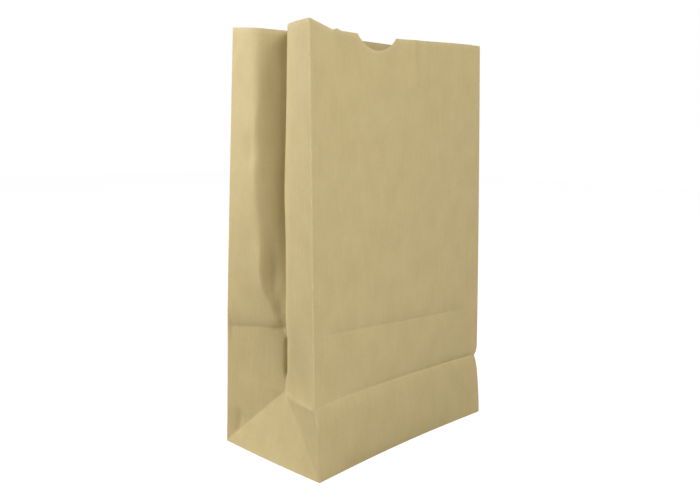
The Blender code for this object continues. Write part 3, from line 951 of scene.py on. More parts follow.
@dataclass(frozen=True)
class KraftPaper:
    """Unbleached kraft paper of 70 g per square metre, made on one glazed cylinder.

    The long brown fibres give it a warm body colour with paler and darker flecks and a few bark
    specks. The cylinder leaves one side smooth with a low sheen, fine streaks run the way that
    the web ran, which is up the bag, and the sheet is cloudy because the fibres clump. Folds are
    worn pale, and that pale colour is also painted highlight along them.

    Real fibres are about 3 mm long and 0.03 mm wide. They are drawn 0.5 mm wide, and the bark
    specks 0.4 mm, because finer ones would not show.
    """

    body: str = "#BDAB7B"
    deep: str = "#A89465"
    pale: str = "#D0C091"
    bark: str = "#8C7446"
    # Pale colour of worn folds, which also serves as painted highlight along them
    rubbed_and_highlit: str = "#D9C89A"
    cloud: tuple[float, float] = (0.0160, 0.0224)
    cloud_levels: tuple[float, float] = (0.35, 0.68)
    cloud_share: float = 0.30
    streak: tuple[float, float] = (0.0016, 0.0300)
    streak_levels: tuple[float, float] = (0.45, 0.80)
    streak_share: float = 0.22
    fibre: tuple[float, float] = (0.0005, 0.0030)
    fibre_edge: float = 0.12
    pale_turns: tuple[float, float, float] = (0.3, -1.05, 1.25)
    pale_level: float = 0.60
    pale_share: float = 0.22
    deep_turns: tuple[float, float, float] = (-0.5, 0.8, 1.45)
    deep_level: float = 0.61
    deep_share: float = 0.20
    bark_gap: float = 0.0090
    bark_size: float = 0.0004
    bark_core: float = 0.4
    bark_share: float = 0.35
    rub_highlight_patch: tuple[float, float] = (0.004, 0.012)
    rub_highlight_levels: tuple[float, float] = (0.35, 0.65)
    rub_highlight_least: float = 0.35
    rub_highlight_share: float = 0.75
    relief_height: float = 0.00008
    relief_share: float = 0.35
    roughness: float = 0.66
    roughness_levels: tuple[float, float] = (0.3, 0.7)
    roughness_spread: float = 0.05
    specular: float = 0.35
    noise_roughness: float = 0.55

    def material(self) -> bpy.types.Material:
        """The paper as a material that reads the lengths on the flat sheet.

        Returns:
            The new material.
        """
        material = bpy.data.materials.new("kraft paper, machine glazed")
        material.use_nodes = True
        tree = material.node_tree
        tree.nodes.clear()
        sheet = add_node(tree, "ShaderNodeUVMap", uv_map=SHEET_MAP).outputs[0]
        cloud = self.noise(tree, sheet, self.cloud, 0.0, 3.0)
        streak = self.noise(tree, sheet, self.streak, 0.0, 2.0)
        pale = self.flecks(tree, sheet, self.pale_turns, self.pale_level)
        deep = self.flecks(tree, sheet, self.deep_turns, self.deep_level)
        bark = self.bark_specks(tree, sheet)
        rubbed_and_highlit = self.rubbed_and_highlit_folds(tree, sheet)
        clouded = self.span(tree, cloud, *self.cloud_levels, 0.0, self.cloud_share)
        colour = self.tint(tree, clouded, self.body, self.deep)
        streaked = self.span(tree, streak, *self.streak_levels, 0.0, self.streak_share)
        colour = self.tint(tree, streaked, colour, self.pale)
        for fleck, share, shade in (
            (deep, self.deep_share, self.deep),
            (pale, self.pale_share, self.pale),
            (bark, self.bark_share, self.bark),
        ):
            colour = self.tint(tree, self.span(tree, fleck, 0.0, 1.0, 0.0, share), colour, shade)
        # Folds painted paler: worn paper, and painted highlight where a fold catches the light
        colour = self.tint(tree, rubbed_and_highlit, colour, self.rubbed_and_highlit)
        relief = add_node(tree, "ShaderNodeMath", {0: pale, 1: deep}, operation="SUBTRACT")
        relief = add_node(
            tree, "ShaderNodeMath", {0: cloud, 1: relief.outputs[0]}, operation="ADD"
        )
        bump = add_node(
            tree,
            "ShaderNodeBump",
            {
                "Strength": self.relief_share,
                "Distance": self.relief_height,
                "Height": relief.outputs[0],
            },
        )
        low, high = self.roughness - self.roughness_spread, self.roughness + self.roughness_spread
        shader = add_node(
            tree,
            "ShaderNodeBsdfPrincipled",
            {
                "Base Color": colour,
                "Roughness": self.span(tree, streak, *self.roughness_levels, low, high),
                "Metallic": 0.0,
                "Specular IOR Level": self.specular,
                "Normal": bump.outputs[0],
            },
        )
        add_node(tree, "ShaderNodeOutputMaterial", {"Surface": shader.outputs[0]})
        return material

    def noise(
        self,
        tree: bpy.types.NodeTree,
        sheet: bpy.types.NodeSocket,
        grain: tuple[float, float],
        turn: float,
        detail: float,
    ) -> bpy.types.NodeSocket:
        """Noise on the flat sheet whose grain has a real width and length.

        Args:
            tree: Tree to build in.
            sheet: Lengths on the sheet.
            grain: Width and length of one grain, in metres.
            turn: Angle that the grain leans at, in radians.
            detail: Finer levels that are added.

        Returns:
            The noise, from 0 to 1.
        """
        turned = add_node(
            tree, "ShaderNodeMapping", {"Vector": sheet, "Rotation": (0.0, 0.0, turn)}
        )
        sized = add_node(
            tree,
            "ShaderNodeVectorMath",
            {0: turned.outputs[0], 1: (1.0 / grain[0], 1.0 / grain[1], 1.0)},
            operation="MULTIPLY",
        )
        texture = add_node(
            tree,
            "ShaderNodeTexNoise",
            {
                "Vector": sized.outputs[0],
                "Scale": 1.0,
                "Detail": detail,
                "Roughness": self.noise_roughness,
            },
        )
        return texture.outputs[0]

    def flecks(
        self,
        tree: bpy.types.NodeTree,
        sheet: bpy.types.NodeSocket,
        turns: tuple[float, ...],
        level: float,
    ) -> bpy.types.NodeSocket:
        """Fibres that lie at a few angles, as streaks where stretched noise is strongest.

        Args:
            tree: Tree to build in.
            sheet: Lengths on the sheet.
            turns: Angles that the fibres lean at, in radians.
            level: Noise from which a fibre starts to show.

        Returns:
            How strongly a fibre shows, from 0 to 1.
        """
        strongest = None
        for turn in turns:
            grain = self.noise(tree, sheet, self.fibre, turn, 1.0)
            fibre = self.span(tree, grain, level, level + self.fibre_edge, 0.0, 1.0)
            if strongest is None:
                strongest = fibre
                continue
            both = add_node(
                tree, "ShaderNodeMath", {0: strongest, 1: fibre}, operation="MAXIMUM"
            )
            strongest = both.outputs[0]
        return strongest

    def bark_specks(
        self, tree: bpy.types.NodeTree, sheet: bpy.types.NodeSocket
    ) -> bpy.types.NodeSocket:
        """Small dark specks of bark, far apart, at the middles of scattered cells.

        Args:
            tree: Tree to build in.
            sheet: Lengths on the sheet.

        Returns:
            How strongly a speck shows, from 0 to 1.
        """
        cells = add_node(
            tree,
            "ShaderNodeTexVoronoi",
            {"Vector": sheet, "Scale": 1.0 / self.bark_gap},
            voronoi_dimensions="2D",
        )
        edge = self.bark_size / self.bark_gap
        return self.span(tree, cells.outputs["Distance"], edge, self.bark_core * edge, 0.0, 1.0)

    def rubbed_and_highlit_folds(
        self, tree: bpy.types.NodeTree, sheet: bpy.types.NodeSocket
    ) -> bpy.types.NodeSocket:
        """How pale the folds are painted, for worn paper and as painted highlight, broken up along them.

        Args:
            tree: Tree to build in.
            sheet: Lengths on the sheet.

        Returns:
            The share of the pale colour, for worn folds and painted highlight, from 0 to
            rub_highlight_share.
        """
        wear_and_highlight = add_node(tree, "ShaderNodeAttribute", attribute_name=WEAR_AND_HIGHLIGHT).outputs["Fac"]
        patchy = self.noise(tree, sheet, self.rub_highlight_patch, 0.0, 2.0)
        patchy = self.span(tree, patchy, *self.rub_highlight_levels, self.rub_highlight_least, 1.0)
        rubbed_and_highlit = add_node(tree, "ShaderNodeMath", {0: wear_and_highlight, 1: patchy}, operation="MULTIPLY")
        return self.span(tree, rubbed_and_highlit.outputs[0], 0.0, 1.0, 0.0, self.rub_highlight_share)

    @staticmethod
    def span(
        tree: bpy.types.NodeTree,
        value: bpy.types.NodeSocket,
        low: float,
        high: float,
        new_low: float,
        new_high: float,
    ) -> bpy.types.NodeSocket:
        """The value's stretch from low to high, as one from new_low to new_high, held at its ends."""
        feeds = {0: value, 1: low, 2: high, 3: new_low, 4: new_high}
        return add_node(tree, "ShaderNodeMapRange", feeds, clamp=True).outputs[0]

    @staticmethod
    def tint(
        tree: bpy.types.NodeTree,
        share: bpy.types.NodeSocket,
        colour: bpy.types.NodeSocket | str,
        other: str,
    ) -> bpy.types.NodeSocket:
        """The colour, mixed with another by a share.

        Args:
            tree: Tree to build in.
            share: Share of the other colour.
            colour: Hex code, or the output of an earlier mix.
            other: Hex code of the other colour.

        Returns:
            The mixed colour.
        """
        first = linear_colour(colour) if isinstance(colour, str) else colour
        feeds = {0: share, 6: first, 7: linear_colour(other)}
        return add_node(tree, "ShaderNodeMix", feeds, data_type="RGBA").outputs[2]


# The paper's own relief, and its settling


@dataclass(frozen=True)
class Cockle:
    """Faint waves that paper takes from damp and handling, as a Geometry Nodes tree."""

    swell_height: float = 0.0009
    swell_length: float = 0.0550
    cockle_height: float = 0.00022
    cockle_length: float = 0.0140
    seed: float = 7.0

    def tree(self) -> bpy.types.NodeTree:
        """The tree, which moves points along their normals by two sizes of noise.

        Returns:
            The new tree.
        """
        tree = bpy.data.node_groups.new("paper cockle", "GeometryNodeTree")
        sockets = tree.interface
        sockets.new_socket("Sheet", in_out="INPUT", socket_type="NodeSocketGeometry")
        for name in ("Swell Height", "Swell Length", "Cockle Height", "Cockle Length", "Seed"):
            sockets.new_socket(name, in_out="INPUT", socket_type="NodeSocketFloat")
        sockets.new_socket("Paper", in_out="INPUT", socket_type="NodeSocketMaterial")
        sockets.new_socket("Sheet", in_out="OUTPUT", socket_type="NodeSocketGeometry")
        given = add_node(tree, "NodeGroupInput").outputs
        place = add_node(tree, "GeometryNodeInputPosition").outputs[0]
        normal = add_node(tree, "GeometryNodeInputNormal").outputs[0]
        slack = add_node(
            tree, "GeometryNodeInputNamedAttribute", {"Name": SLACK}, data_type="FLOAT"
        ).outputs["Attribute"]
        waves = []
        for height, length in (("Swell Height", "Swell Length"), ("Cockle Height", "Cockle Length")):
            scale = add_node(tree, "ShaderNodeMath", {0: 1.0, 1: given[length]}, operation="DIVIDE")
            noise = add_node(
                tree,
                "ShaderNodeTexNoise",
                {"Vector": place, "W": given["Seed"], "Scale": scale.outputs[0], "Detail": 2.0},
                noise_dimensions="4D",
            )
            centred = add_node(tree, "ShaderNodeMath", {0: noise.outputs[0], 1: 0.5}, operation="SUBTRACT")
            wave = add_node(
                tree, "ShaderNodeMath", {0: centred.outputs[0], 1: given[height]}, operation="MULTIPLY"
            )
            waves.append(wave.outputs[0])
        both = add_node(tree, "ShaderNodeMath", {0: waves[0], 1: waves[1]}, operation="ADD")
        eased = add_node(tree, "ShaderNodeMath", {0: both.outputs[0], 1: slack}, operation="MULTIPLY")
        offset = add_node(
            tree, "ShaderNodeVectorMath", {0: normal, "Scale": eased.outputs[0]}, operation="SCALE"
        )
        moved = add_node(
            tree, "GeometryNodeSetPosition", {"Geometry": given["Sheet"], "Offset": offset.outputs[0]}
        )
        real = add_node(tree, "GeometryNodeRealizeInstances", {0: moved.outputs[0]})
        dressed = add_node(
            tree, "GeometryNodeSetMaterial", {"Geometry": real.outputs[0], "Material": given["Paper"]}
        )
        add_node(tree, "NodeGroupOutput", {0: dressed.outputs[0]})
        return tree

    def put_on(self, item: bpy.types.Object, paper: bpy.types.Material) -> None:
        """Put the tree on an object as a modifier.

        Args:
            item: Object whose points carry the slack attribute.
            paper: Material that the tree sets.
        """
        modifier = item.modifiers.new("paper cockle", "NODES")
        modifier.node_group = self.tree()
        values = {
            "Swell Height": self.swell_height,
            "Swell Length": self.swell_length,
            "Cockle Height": self.cockle_height,
            "Cockle Length": self.cockle_length,
            "Seed": self.seed,
            "Paper": paper,
        }
        for socket in modifier.node_group.interface.items_tree:
            if socket.in_out == "INPUT" and socket.name in values:
                modifier[socket.identifier] = values[socket.name]


def settle(item: bpy.types.Object, sharp_angle: float = 50.0) -> None:
    """Turn an object with its modifiers into a plain mesh with soft shading between sharp edges.

    Args:
        item: Object to settle.
        sharp_angle: Angle between faces, in degrees, from which their edge is sharp.
    """
    graph = bpy.context.evaluated_depsgraph_get()
    shape = bpy.data.meshes.new_from_object(
        item.evaluated_get(graph), preserve_all_data_layers=True, depsgraph=graph
    )
    item.modifiers.clear()
    item.data = shape
    shape.name = item.name
    shape.shade_smooth()
    shape.set_sharp_from_angle(angle=math.radians(sharp_angle))


# Sub-assemblies


@dataclass(frozen=True)
class NearFold:
    """What a kind of fold does to the paper beside it: how much, and how far away it is felt."""

    fold: Fold
    share: float
    reach: float

    def felt(self, gaps: dict[Fold, np.ndarray]) -> np.ndarray:
        """How much it does at places, from their distances to each kind of fold."""
        return self.share * np.exp(-((gaps[self.fold] / self.reach) ** 2))


@dataclass
class FoldedSheet:
    """Walls and bottom of the bag: the whole tube of paper, with its folds, creases and worn places.

    The steps are the widest gaps between points of the mesh, and the marks are the lengths beside
    a fold or crease at which it always has points. The rubs_and_highlights paint the folds pale, for
    worn paper and as painted highlight, and the holds keep the paper beside them from waving.
    """

    tube: FoldedTube
    handling: Handling
    cockle: Cockle
    paper: bpy.types.Material
    wall: float = 0.00028
    trim_band: float = 0.0450
    trim_rows: int = 10
    notch_parts: int = 24
    step_front: float = 0.0026
    step_back: float = 0.0045
    step_gusset: float = 0.0016
    step_between: float = 0.0036
    step_up: float = 0.0040
    under: float = 0.0012
    low_corner_gap: float = 0.0008
    fold_marks: tuple[float, ...] = (0.0, 0.0004, 0.0008, 0.0013, 0.0021, 0.0033, 0.0050)
    crease_marks: tuple[float, ...] = (0.0, 0.0006, 0.0014, 0.0026, 0.0044)
    over_crease: float = 0.0080
    # Pale rubbing of folds and the cut edge, which also paints the highlight along the corners, diagonals
    # and lower crease
    rubs_and_highlights: tuple[NearFold, ...] = (
        NearFold(Fold.CORNER, 0.60, 0.0007),
        NearFold(Fold.FOOT, 0.40, 0.0008),
        NearFold(Fold.DIAGONAL, 0.40, 0.0008),
        NearFold(Fold.LOWER, 0.25, 0.0008),
        NearFold(Fold.UPPER, 0.08, 0.0008),
        NearFold(Fold.CUT, 0.50, 0.0005),
    )
    holds: tuple[NearFold, ...] = (
        NearFold(Fold.CORNER, 1.0, 0.012),
        NearFold(Fold.FOOT, 1.0, 0.012),
        NearFold(Fold.DIAGONAL, 1.0, 0.012),
        NearFold(Fold.LOWER, 0.6, 0.008),
        NearFold(Fold.PLEAT, 0.5, 0.010),
    )
    piece: bpy.types.Object | None = field(default=None, init=False)
    shift: np.ndarray | None = field(default=None, init=False)

    def half_marks(self) -> list[float]:
        """Lengths across half a gusset, which are also the lowest levels of the walls.

        Returns:
            The lengths, in rising order.
        """
        half = self.tube.half
        marks = list(self.fold_marks) + [half - mark for mark in reversed(self.fold_marks)]
        return fill_in(marks, self.step_gusset)

    def stations(self) -> np.ndarray:
        """Places round the tube that the mesh has points at.

        Returns:
            The places, from the back seam on and once round.
        """
        tube = self.tube
        near, far = (tube.notch_centre + sign * tube.notch_width / 2 for sign in (-1, 1))
        ear = [tube.left_ear / 2] + [tube.left_ear + step * tube.tooth_half for step in range(3)]
        parts = self.notch_parts
        notch = [near + (far - near) * part / parts for part in range(parts + 1)]
        marks = list(self.fold_marks) + ear + notch
        marks += [tube.width - mark for mark in reversed(self.fold_marks)]
        front = fill_in(sorted(marks), self.step_front)
        half = self.half_marks()
        gusset = half + [tube.depth - mark for mark in reversed(half[:-1])]
        marks = list(self.fold_marks) + [tube.width - tube.seam_edge]
        marks += [tube.width - mark for mark in reversed(self.fold_marks)]
        back = fill_in(sorted(marks), self.step_back)
        places = []
        for start, lengths in zip(tube.panel_starts, (front, gusset, back, gusset)):
            places += [start + length for length in lengths[:-1]]
        seam = tube.panel_starts[2] + tube.width - tube.seam_edge
        places = np.array(places)
        first = int(np.argmin(np.abs(places - seam)))
        return np.roll(places, -first)

    def levels(self, around: np.ndarray) -> np.ndarray:
        """Levels of each column, from just under the bag, past both creases, to the cut edge.

        Args:
            around: Places round the tube.

        Returns:
            One row of levels for each place.
        """
        half = self.half_marks()
        trim = self.tube.height - self.trim_band
        crease = self.tube.crease_height(around)[:, None]
        cut = self.tube.cut(around)[:, None]
        span = self.tube.depth - self.tube.half
        marks = list(self.crease_marks)
        middle = fill_in(marks + [span - mark for mark in reversed(marks)], self.step_between)
        upper_span = trim - self.tube.depth
        upper = fill_in(marks + [self.over_crease, upper_span], self.step_up)
        top = fill_in([0.0, 1.0], 1.0 / self.trim_rows)
        rows = [np.full_like(crease, -self.under), np.full_like(crease, -self.under / 3)]
        rows += [np.full_like(crease, mark) for mark in half]
        rows += [mix(self.tube.half, crease[:, 0], mark / span)[:, None] for mark in middle[1:]]
        rows += [mix(crease[:, 0], trim, mark / upper_span)[:, None] for mark in upper[1:]]
        rows += [mix(trim, cut[:, 0], share)[:, None] for share in top[1:]]
        return np.concatenate(rows, axis=1)

    def grid(self) -> tuple[np.ndarray, np.ndarray, np.ndarray]:
        """Places, levels and points of the whole sheet, column by column.

        Returns:
            Lengths round the tube, lengths up it, and the points of its outer face.
        """
        around = self.stations()
        up = self.levels(around)
        places = np.repeat(around[:, None], up.shape[1], axis=1)
        return places, up, self.surface(places, up)

    def surface(self, places: np.ndarray, up: np.ndarray, proud: float = 0.0) -> np.ndarray:
        """Points of the outer face with its marks of use, or so far outside it."""
        push = self.handling.push(self.tube, places, up)
        return self.tube.sheet(places, up) + scaled(self.tube.normal(places, up), proud - push)

    def fold_distance(self, places: np.ndarray, up: np.ndarray) -> dict[Fold, np.ndarray]:
        """How far each place is from each kind of fold, on the flat sheet.

        Args:
            places: Lengths round the tube.
            up: Lengths up from the bottom fold.

        Returns:
            The distances for each kind of fold, which are large where the fold doesn't run.
        """
        tube = self.tube
        starts = np.array(tube.panel_starts)
        gap = np.abs(places[..., None] - starts)
        corner = np.minimum(gap, tube.girth - gap).min(axis=-1)
        # Below the lower crease the corners count as farther from their fold, so they are painted less
        # pale and less highlit, and held less
        corner = corner + self.low_corner_gap * (1.0 - ease(up / tube.half))
        panel = tube.panel_at(places)
        side = (panel == Panel.LEFT.value) | (panel == Panel.RIGHT.value)
        along = places - starts[panel]
        near = np.minimum(along, tube.depth - along)
        diagonal = np.where(side & (up < tube.half), np.abs(up - near) / math.sqrt(2.0), 1.0)
        pleat = np.where(side & (up >= tube.half), tube.half - near, 1.0)
        from_front = np.where(panel == Panel.LEFT.value, tube.depth - along, along)
        creased = (panel == Panel.FRONT.value) | (side & (from_front < tube.half))
        return {
            Fold.CORNER: corner,
            Fold.FOOT: np.abs(up),
            Fold.DIAGONAL: diagonal,
            Fold.PLEAT: pleat,
            Fold.LOWER: np.where(creased, np.abs(up - tube.half), 1.0),
            Fold.UPPER: np.abs(up - tube.crease_height(places)),
            Fold.CUT: np.abs(tube.cut(places) - up),
        }

    def wear_and_highlight(self, places: np.ndarray, up: np.ndarray) -> np.ndarray:
        """How pale each place is painted, for worn paper and as painted highlight, from 0 to 1."""
        gaps = self.fold_distance(places, up)
        return np.max([rub.felt(gaps) for rub in self.rubs_and_highlights], axis=0)

    def slack(self, places: np.ndarray, up: np.ndarray) -> np.ndarray:
        """How free the paper is to wave: little beside the folds, which hold it straight."""
        gaps = self.fold_distance(places, up)
        return np.where(up < 0.0, 0.0, np.prod([1.0 - hold.felt(gaps) for hold in self.holds], axis=0))

    def faces(self, places: np.ndarray, up: np.ndarray) -> tuple[list, list]:
        """Faces of the grid and the lengths on the sheet at their corners.

        The last face closes the bottom. Blender fills it straight across the inward bow of the
        back's foot, which leaves a flat sliver of it outside the wall there.

        Args:
            places: Places round the tube, column by column.
            up: Levels, column by column.

        Returns:
            The faces as vertex numbers, and one pair of lengths for each of their corners.
        """
        columns, rows = up.shape
        start = places[0, 0]
        around = np.mod(places[:, 0] - start, self.tube.girth)
        faces, lengths = [], []
        for column in range(columns):
            far = (column + 1) % columns
            far_around = around[far] if far else self.tube.girth
            middle = (places[column, 0] + (far_around - around[column]) / 2) % self.tube.girth
            panel = int(self.tube.panel_at(middle))
            gusset = panel in (Panel.LEFT.value, Panel.RIGHT.value)
            along = middle - self.tube.panel_starts[panel]
            rising = along < self.tube.half
            near = min(along, self.tube.depth - along)
            for row in range(rows - 1):
                corners = [
                    (column, row, around[column]),
                    (far, row, far_around),
                    (far, row + 1, far_around),
                    (column, row + 1, around[column]),
                ]
                low, high = up[column, row], up[column, row + 1]
                if gusset and low <= near <= high and high <= self.tube.half + 1e-9 and low >= 0.0:
                    cuts = ((0, 1, 2), (0, 2, 3)) if rising else ((0, 1, 3), (1, 2, 3))
                else:
                    cuts = ((0, 1, 2, 3),)
                for cut in cuts:
                    faces.append([corners[i][0] * rows + corners[i][1] for i in cut])
                    lengths += [(corners[i][2], up[corners[i][0], corners[i][1]]) for i in cut]
        faces.append([column * rows for column in reversed(range(columns))])
        lengths += [(around[column], -self.under) for column in reversed(range(columns))]
        return faces, lengths

    def build(self) -> bpy.types.Object:
        """Build the sheet and dress it.

        Returns:
            The finished piece.
        """
        places, up, points = self.grid()
        low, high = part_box(BAG_NODE)
        sharp = self.tube.folded(places, up).reshape(-1, 3)
        middle = (sharp.min(axis=0) + sharp.max(axis=0)) / 2
        self.shift = np.array([(low[i] + high[i]) / 2 - middle[i] for i in (0, 1)] + [0.0])
        faces, lengths = self.faces(places, up)
        self.piece = add_piece("bag_sheet", points.reshape(-1, 3) + self.shift, faces)
        lay_flat(self.piece, lengths)
        # Paint the folds pale, for worn paper and as painted highlight
        mark_points(self.piece, WEAR_AND_HIGHLIGHT, self.wear_and_highlight(places, up))
        mark_points(self.piece, SLACK, self.slack(places, up))
        self.cockle.put_on(self.piece, self.paper)
        thicken(self.piece, self.wall, even=True)
        settle(self.piece)
        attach(self.piece, "root")
        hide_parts(BAG_NODE)
        return self.piece


@dataclass
class BackSeam:
    """Glued overlap that closes the tube, up the back panel.

    It stands proud of the sheet under it, and its wall reaches back into that sheet. Its place on
    the flat paper is moved by other_paper, so that its grain isn't the grain beside it.
    """

    sheet: FoldedSheet
    cockle: Cockle
    paper: bpy.types.Material
    lap: float = 0.0140
    end_gap: float = 0.0010
    proud: float = 0.00028
    thick: float = 0.00040
    edge_mark: float = 0.0006
    end_mark: float = 0.0008
    crease_mark: float = 0.0014
    step_across: float = 0.0035
    step_up: float = 0.0045
    rim_rub: float = 0.5
    rim_reach: float = 0.0005
    other_paper: float = 1.3

    def build(self) -> bpy.types.Object:
        """Build the overlap and dress it.

        Returns:
            The finished piece.
        """
        tube = self.sheet.tube
        far = tube.panel_starts[2] + tube.width - tube.seam_edge
        near = far - self.lap
        edges = [near, near + self.edge_mark, far - self.edge_mark, far]
        around = np.array(fill_in(edges, self.step_across))
        top = float(tube.cut(np.array([near]))[0]) - self.end_gap
        crease = float(tube.crease_height(np.array([near]))[0])
        marks = [self.end_gap, self.end_gap + self.end_mark]
        marks += [crease - self.crease_mark, crease, crease + self.crease_mark]
        up = np.array(fill_in(marks + [top - self.end_mark, top], self.step_up))
        places, levels = np.meshgrid(around, up, indexing="ij")
        points = self.sheet.surface(places, levels, self.proud) + self.sheet.shift
        rows = len(up)
        faces = [
            (start, start + rows, start + rows + 1, start + 1)
            for column in range(len(around) - 1)
            for start in range(column * rows, (column + 1) * rows - 1)
        ]
        piece = add_piece("back_seam", points, faces)
        lengths = np.stack([places + self.other_paper, levels], axis=-1).reshape(-1, 2)
        lay_flat(piece, lengths[np.array(faces).ravel()])
        beside = np.minimum(places - near, far - places)
        rim = np.minimum(beside, np.minimum(levels - up[0], top - levels))
        mark_points(piece, WEAR_AND_HIGHLIGHT, self.rim_rub * np.exp(-((rim / self.rim_reach) ** 2)))
        mark_points(piece, SLACK, self.sheet.slack(places, levels))
        self.cockle.put_on(piece, self.paper)
        thicken(piece, self.thick, even=False)
        settle(piece)
        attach(piece, "root")
        return piece


@dataclass(frozen=True)
class Ply:
    """Flat layer of paper in the bottom, with its outline as seen from above and a rim worn pale."""

    name: str
    outline: tuple[tuple[float, float], ...]
    low: float
    high: float
    rim: float = 0.0015
    rim_rub: float = 0.5
    sharp_angle: float = 30.0
    other_paper: float = 2.1

    def build(self, paper: bpy.types.Material) -> bpy.types.Object:
        """Build the layer, with its edges worn a little paler.

        Args:
            paper: Material to give it.

        Returns:
            The finished piece.
        """
        outline = np.array(self.outline)
        middle = outline.mean(axis=0)
        gap = np.linalg.norm(outline - middle, axis=1, keepdims=True)
        inner = middle + (outline - middle) * (1.0 - self.rim / gap)
        rings = [(outline, self.low), (outline, self.high), (inner, self.low), (inner, self.high)]
        points = np.concatenate([np.column_stack([ring, np.full(len(ring), z)]) for ring, z in rings])
        count = len(outline)
        faces = [
            tuple(2 * count + i for i in reversed(range(count))),
            tuple(3 * count + i for i in range(count)),
        ]
        for i in range(count):
            j = (i + 1) % count
            faces.append((i, j, count + j, count + i))
            faces.append((j, i, 2 * count + i, 2 * count + j))
            faces.append((count + i, count + j, 3 * count + j, 3 * count + i))
        piece = add_piece(self.name, points, faces)
        lay_flat(piece, points[[corner for face in faces for corner in face], :2] + self.other_paper)
        mark_points(piece, WEAR_AND_HIGHLIGHT, np.repeat([self.rim_rub, 0.0], 2 * count))
        piece.data.materials.append(paper)
        piece.data.set_sharp_from_angle(angle=math.radians(self.sharp_angle))
        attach(piece, "root")
        return piece


@dataclass
class GluedBottom:
    """Layers of the bottom: two long flaps under it, and the folded gusset ends inside."""

    tube: FoldedTube
    shift: np.ndarray
    paper: bpy.types.Material
    reach: float = 0.0580
    setback: float = 0.0008
    overlap: float = 0.00012
    wall: float = 0.00028
    foot_points: int = 25

    def flap(self, face: int) -> tuple[tuple[float, float], ...]:
        """Outline of a long flap, folded in along the bowed foot of a wall.

        Args:
            face: -1 for the front wall or 1 for the back wall.

        Returns:
            Its corners, anticlockwise as seen from above.
        """
        tube = self.tube
        start = tube.panel_starts[0 if face < 0 else 2]
        around = start + np.linspace(self.setback, tube.width - self.setback, self.foot_points)
        foot = tube.sheet(around, np.zeros_like(around))
        free = face * (tube.depth / 2 - self.reach)
        half = tube.width / 2 - self.reach
        corners = [(float(x), float(y)) for x, y in foot[:, :2]]
        return self.placed(corners + [(-face * half, free), (face * half, free)])

    def end_fold(self, side: int) -> tuple[tuple[float, float], ...]:
        """Outline of a gusset end, which folds in to a point that is half a gusset away.

        Args:
            side: -1 for left or 1 for right.

        Returns:
            Its corners, anticlockwise as seen from above.
        """
        tube = self.tube
        edge = side * (tube.width / 2 - tube.foot_bow)
        half = tube.depth / 2 - 2 * tube.foot_bow
        corners = [(edge, -half), (edge, half), (edge - side * half, 0.0)]
        return self.placed(corners if side > 0 else corners[::-1])

    def placed(self, corners: list[tuple[float, float]]) -> tuple[tuple[float, float], ...]:
        """The corners moved with the bag."""
        return tuple((x + float(self.shift[0]), y + float(self.shift[1])) for x, y in corners)

    def build(self) -> list[bpy.types.Object]:
        """Build every layer.

        Returns:
            The finished pieces.
        """
        under = self.tube.foot_level
        over = under + self.wall
        plies = (
            Ply("bottom_front_flap", self.flap(-1), under / 2, under + self.overlap),
            Ply("bottom_back_flap", self.flap(1), 0.0, under + self.overlap),
            Ply("left_end_fold", self.end_fold(-1), over - self.overlap, over + self.wall),
            Ply("right_end_fold", self.end_fold(1), over - self.overlap, over + self.wall),
        )
        return [ply.build(self.paper) for ply in plies]


# The studio


@dataclass(frozen=True)
class SoftLamp:
    """One soft box, aimed at the bag."""

    name: str
    place: tuple[float, float, float]
    size: float
    power: float
    aim: tuple[float, float, float] = (0.0, 0.0, 0.16)

    def build(self) -> None:
        """Add the lamp to the scene."""
        lamp = bpy.data.lights.new(self.name, "AREA")
        lamp.shape = "SQUARE"
        lamp.size = self.size
        lamp.energy = self.power
        item = bpy.data.objects.new(self.name, lamp)
        turn = (Vector(self.aim) - Vector(self.place)).to_track_quat("-Z", "Y")
        item.matrix_world = Matrix.Translation(self.place) @ turn.to_matrix().to_4x4()
        bpy.context.scene.collection.objects.link(item)


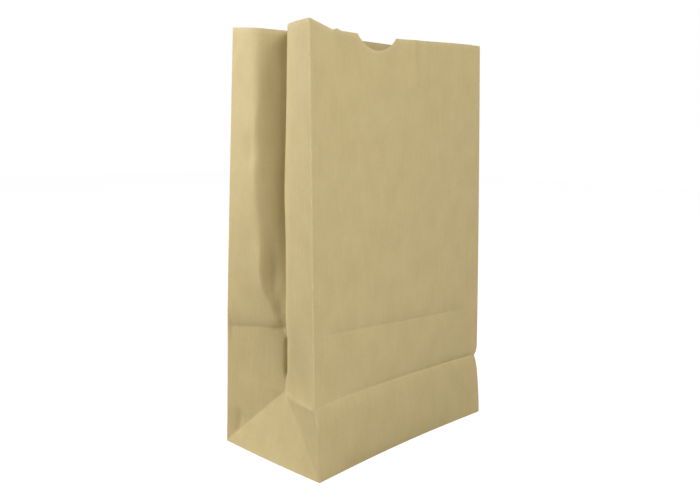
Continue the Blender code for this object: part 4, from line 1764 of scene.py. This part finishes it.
@dataclass
class Studio:
    """Camera, lamps, white sky and the pale floor that the bag stands on."""

    camera_place: tuple[float, float, float] = (-0.459221, -0.415016, 0.249881)
    camera_right: tuple[float, float, float] = (0.685356, -0.728010, 0.016965)
    camera_down: tuple[float, float, float] = (-0.104242, -0.121138, -0.987147)
    camera_forward: tuple[float, float, float] = (0.720708, 0.674779, -0.158912)
    lens: float = 39.574
    sensor_width: float = 36.0
    clip_range: tuple[float, float] = (0.01, 50.0)
    sky_strength: float = 0.10
    floor_colour: str = "#CDCDCD"
    floor_glow: float = 1.34
    floor_white: float = 0.72
    floor_reach: float = 3.0
    lamps: tuple[SoftLamp, ...] = (
        SoftLamp("lamp left", (-0.57, 0.49, 0.56), 0.48, 7.2),
        SoftLamp("lamp front", (-0.32, -1.09, 0.80), 0.8, 13.9),
        SoftLamp("lamp right", (0.70, -1.20, 0.90), 0.8, 0.7),
    )

    def build_camera(self) -> None:
        """Add the camera at the photograph's view."""
        camera = bpy.data.cameras.new("camera")
        camera.sensor_width = self.sensor_width
        camera.sensor_fit = "HORIZONTAL"
        camera.lens = self.lens
        camera.clip_start, camera.clip_end = self.clip_range
        item = bpy.data.objects.new("camera", camera)
        up, back = -Vector(self.camera_down), -Vector(self.camera_forward)
        turn = Matrix((Vector(self.camera_right), up, back)).transposed()
        item.matrix_world = Matrix.Translation(self.camera_place) @ turn.to_4x4()
        bpy.context.scene.collection.objects.link(item)
        bpy.context.scene.camera = item

    def seen_white(self, tree: bpy.types.NodeTree) -> bpy.types.NodeSocket:
        """1 for rays that see the background directly, in a gloss or through glass.

        Args:
            tree: Tree to build in.

        Returns:
            1 for such rays, and 0 for those that carry light.
        """
        path = add_node(tree, "ShaderNodeLightPath").outputs
        total = path["Is Camera Ray"]
        for name in ("Is Glossy Ray", "Is Transmission Ray"):
            total = add_node(
                tree, "ShaderNodeMath", {0: total, 1: path[name]}, operation="MAXIMUM"
            ).outputs[0]
        return total

    def build_sky(self) -> None:
        """Soft white light from all round, which the camera sees as white."""
        world = bpy.data.worlds.new("studio sky")
        world.use_nodes = True
        tree = world.node_tree
        tree.nodes.clear()
        seen = self.seen_white(tree)
        strength = add_node(
            tree, "ShaderNodeMapRange", {0: seen, 3: self.sky_strength, 4: 1.0}, clamp=True
        )
        sky = add_node(
            tree, "ShaderNodeBackground", {"Color": (1.0, 1.0, 1.0, 1.0), "Strength": strength.outputs[0]}
        )
        add_node(tree, "ShaderNodeOutputWorld", {"Surface": sky.outputs[0]})
        bpy.context.scene.world = world

    def floor_material(self) -> bpy.types.Material:
        """Matt white paper floor that mostly glows for the camera and keeps a faint shadow.

        Returns:
            The new material.
        """
        material = bpy.data.materials.new("white floor paper")
        material.use_nodes = True
        tree = material.node_tree
        tree.nodes.clear()
        matt = add_node(
            tree,
            "ShaderNodeBsdfDiffuse",
            {"Color": linear_colour(self.floor_colour), "Roughness": 0.5},
        )
        glow = add_node(
            tree, "ShaderNodeEmission", {"Color": (1.0, 1.0, 1.0, 1.0), "Strength": self.floor_glow}
        )
        share = add_node(
            tree, "ShaderNodeMath", {0: self.seen_white(tree), 1: self.floor_white}, operation="MULTIPLY"
        )
        both = add_node(
            tree, "ShaderNodeMixShader", {0: share.outputs[0], 1: matt.outputs[0], 2: glow.outputs[0]}
        )
        add_node(tree, "ShaderNodeOutputMaterial", {"Surface": both.outputs[0]})
        return material

    def build_floor(self) -> None:
        """Add the floor."""
        corners = [(-1.0, -1.0, 0.0), (1.0, -1.0, 0.0), (1.0, 1.0, 0.0), (-1.0, 1.0, 0.0)]
        item = add_piece("studio_floor", self.floor_reach * np.array(corners), [(0, 1, 2, 3)])
        item.data.materials.append(self.floor_material())

    def build(self) -> None:
        """Build the whole studio."""
        self.build_camera()
        for lamp in self.lamps:
            lamp.build()
        self.build_sky()
        self.build_floor()
        bpy.context.scene.view_settings.view_transform = "Standard"


def main() -> None:
    """Build the bag, then the studio round it, and report each piece."""
    logging.basicConfig(level=logging.INFO, format="%(name)s: %(message)s")
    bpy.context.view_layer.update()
    tube = FoldedTube()
    paper = KraftPaper().material()
    cockle = Cockle()
    sheet = FoldedSheet(tube, Handling(), cockle, paper)
    pieces = [sheet.build(), BackSeam(sheet, cockle, paper).build()]
    pieces += GluedBottom(tube, sheet.shift, paper).build()
    for piece in pieces:
        log.info("%s: %d faces", piece.name, len(piece.data.polygons))
    Studio().build()
    log.info("studio built")


if __name__ == "__main__":
    main()
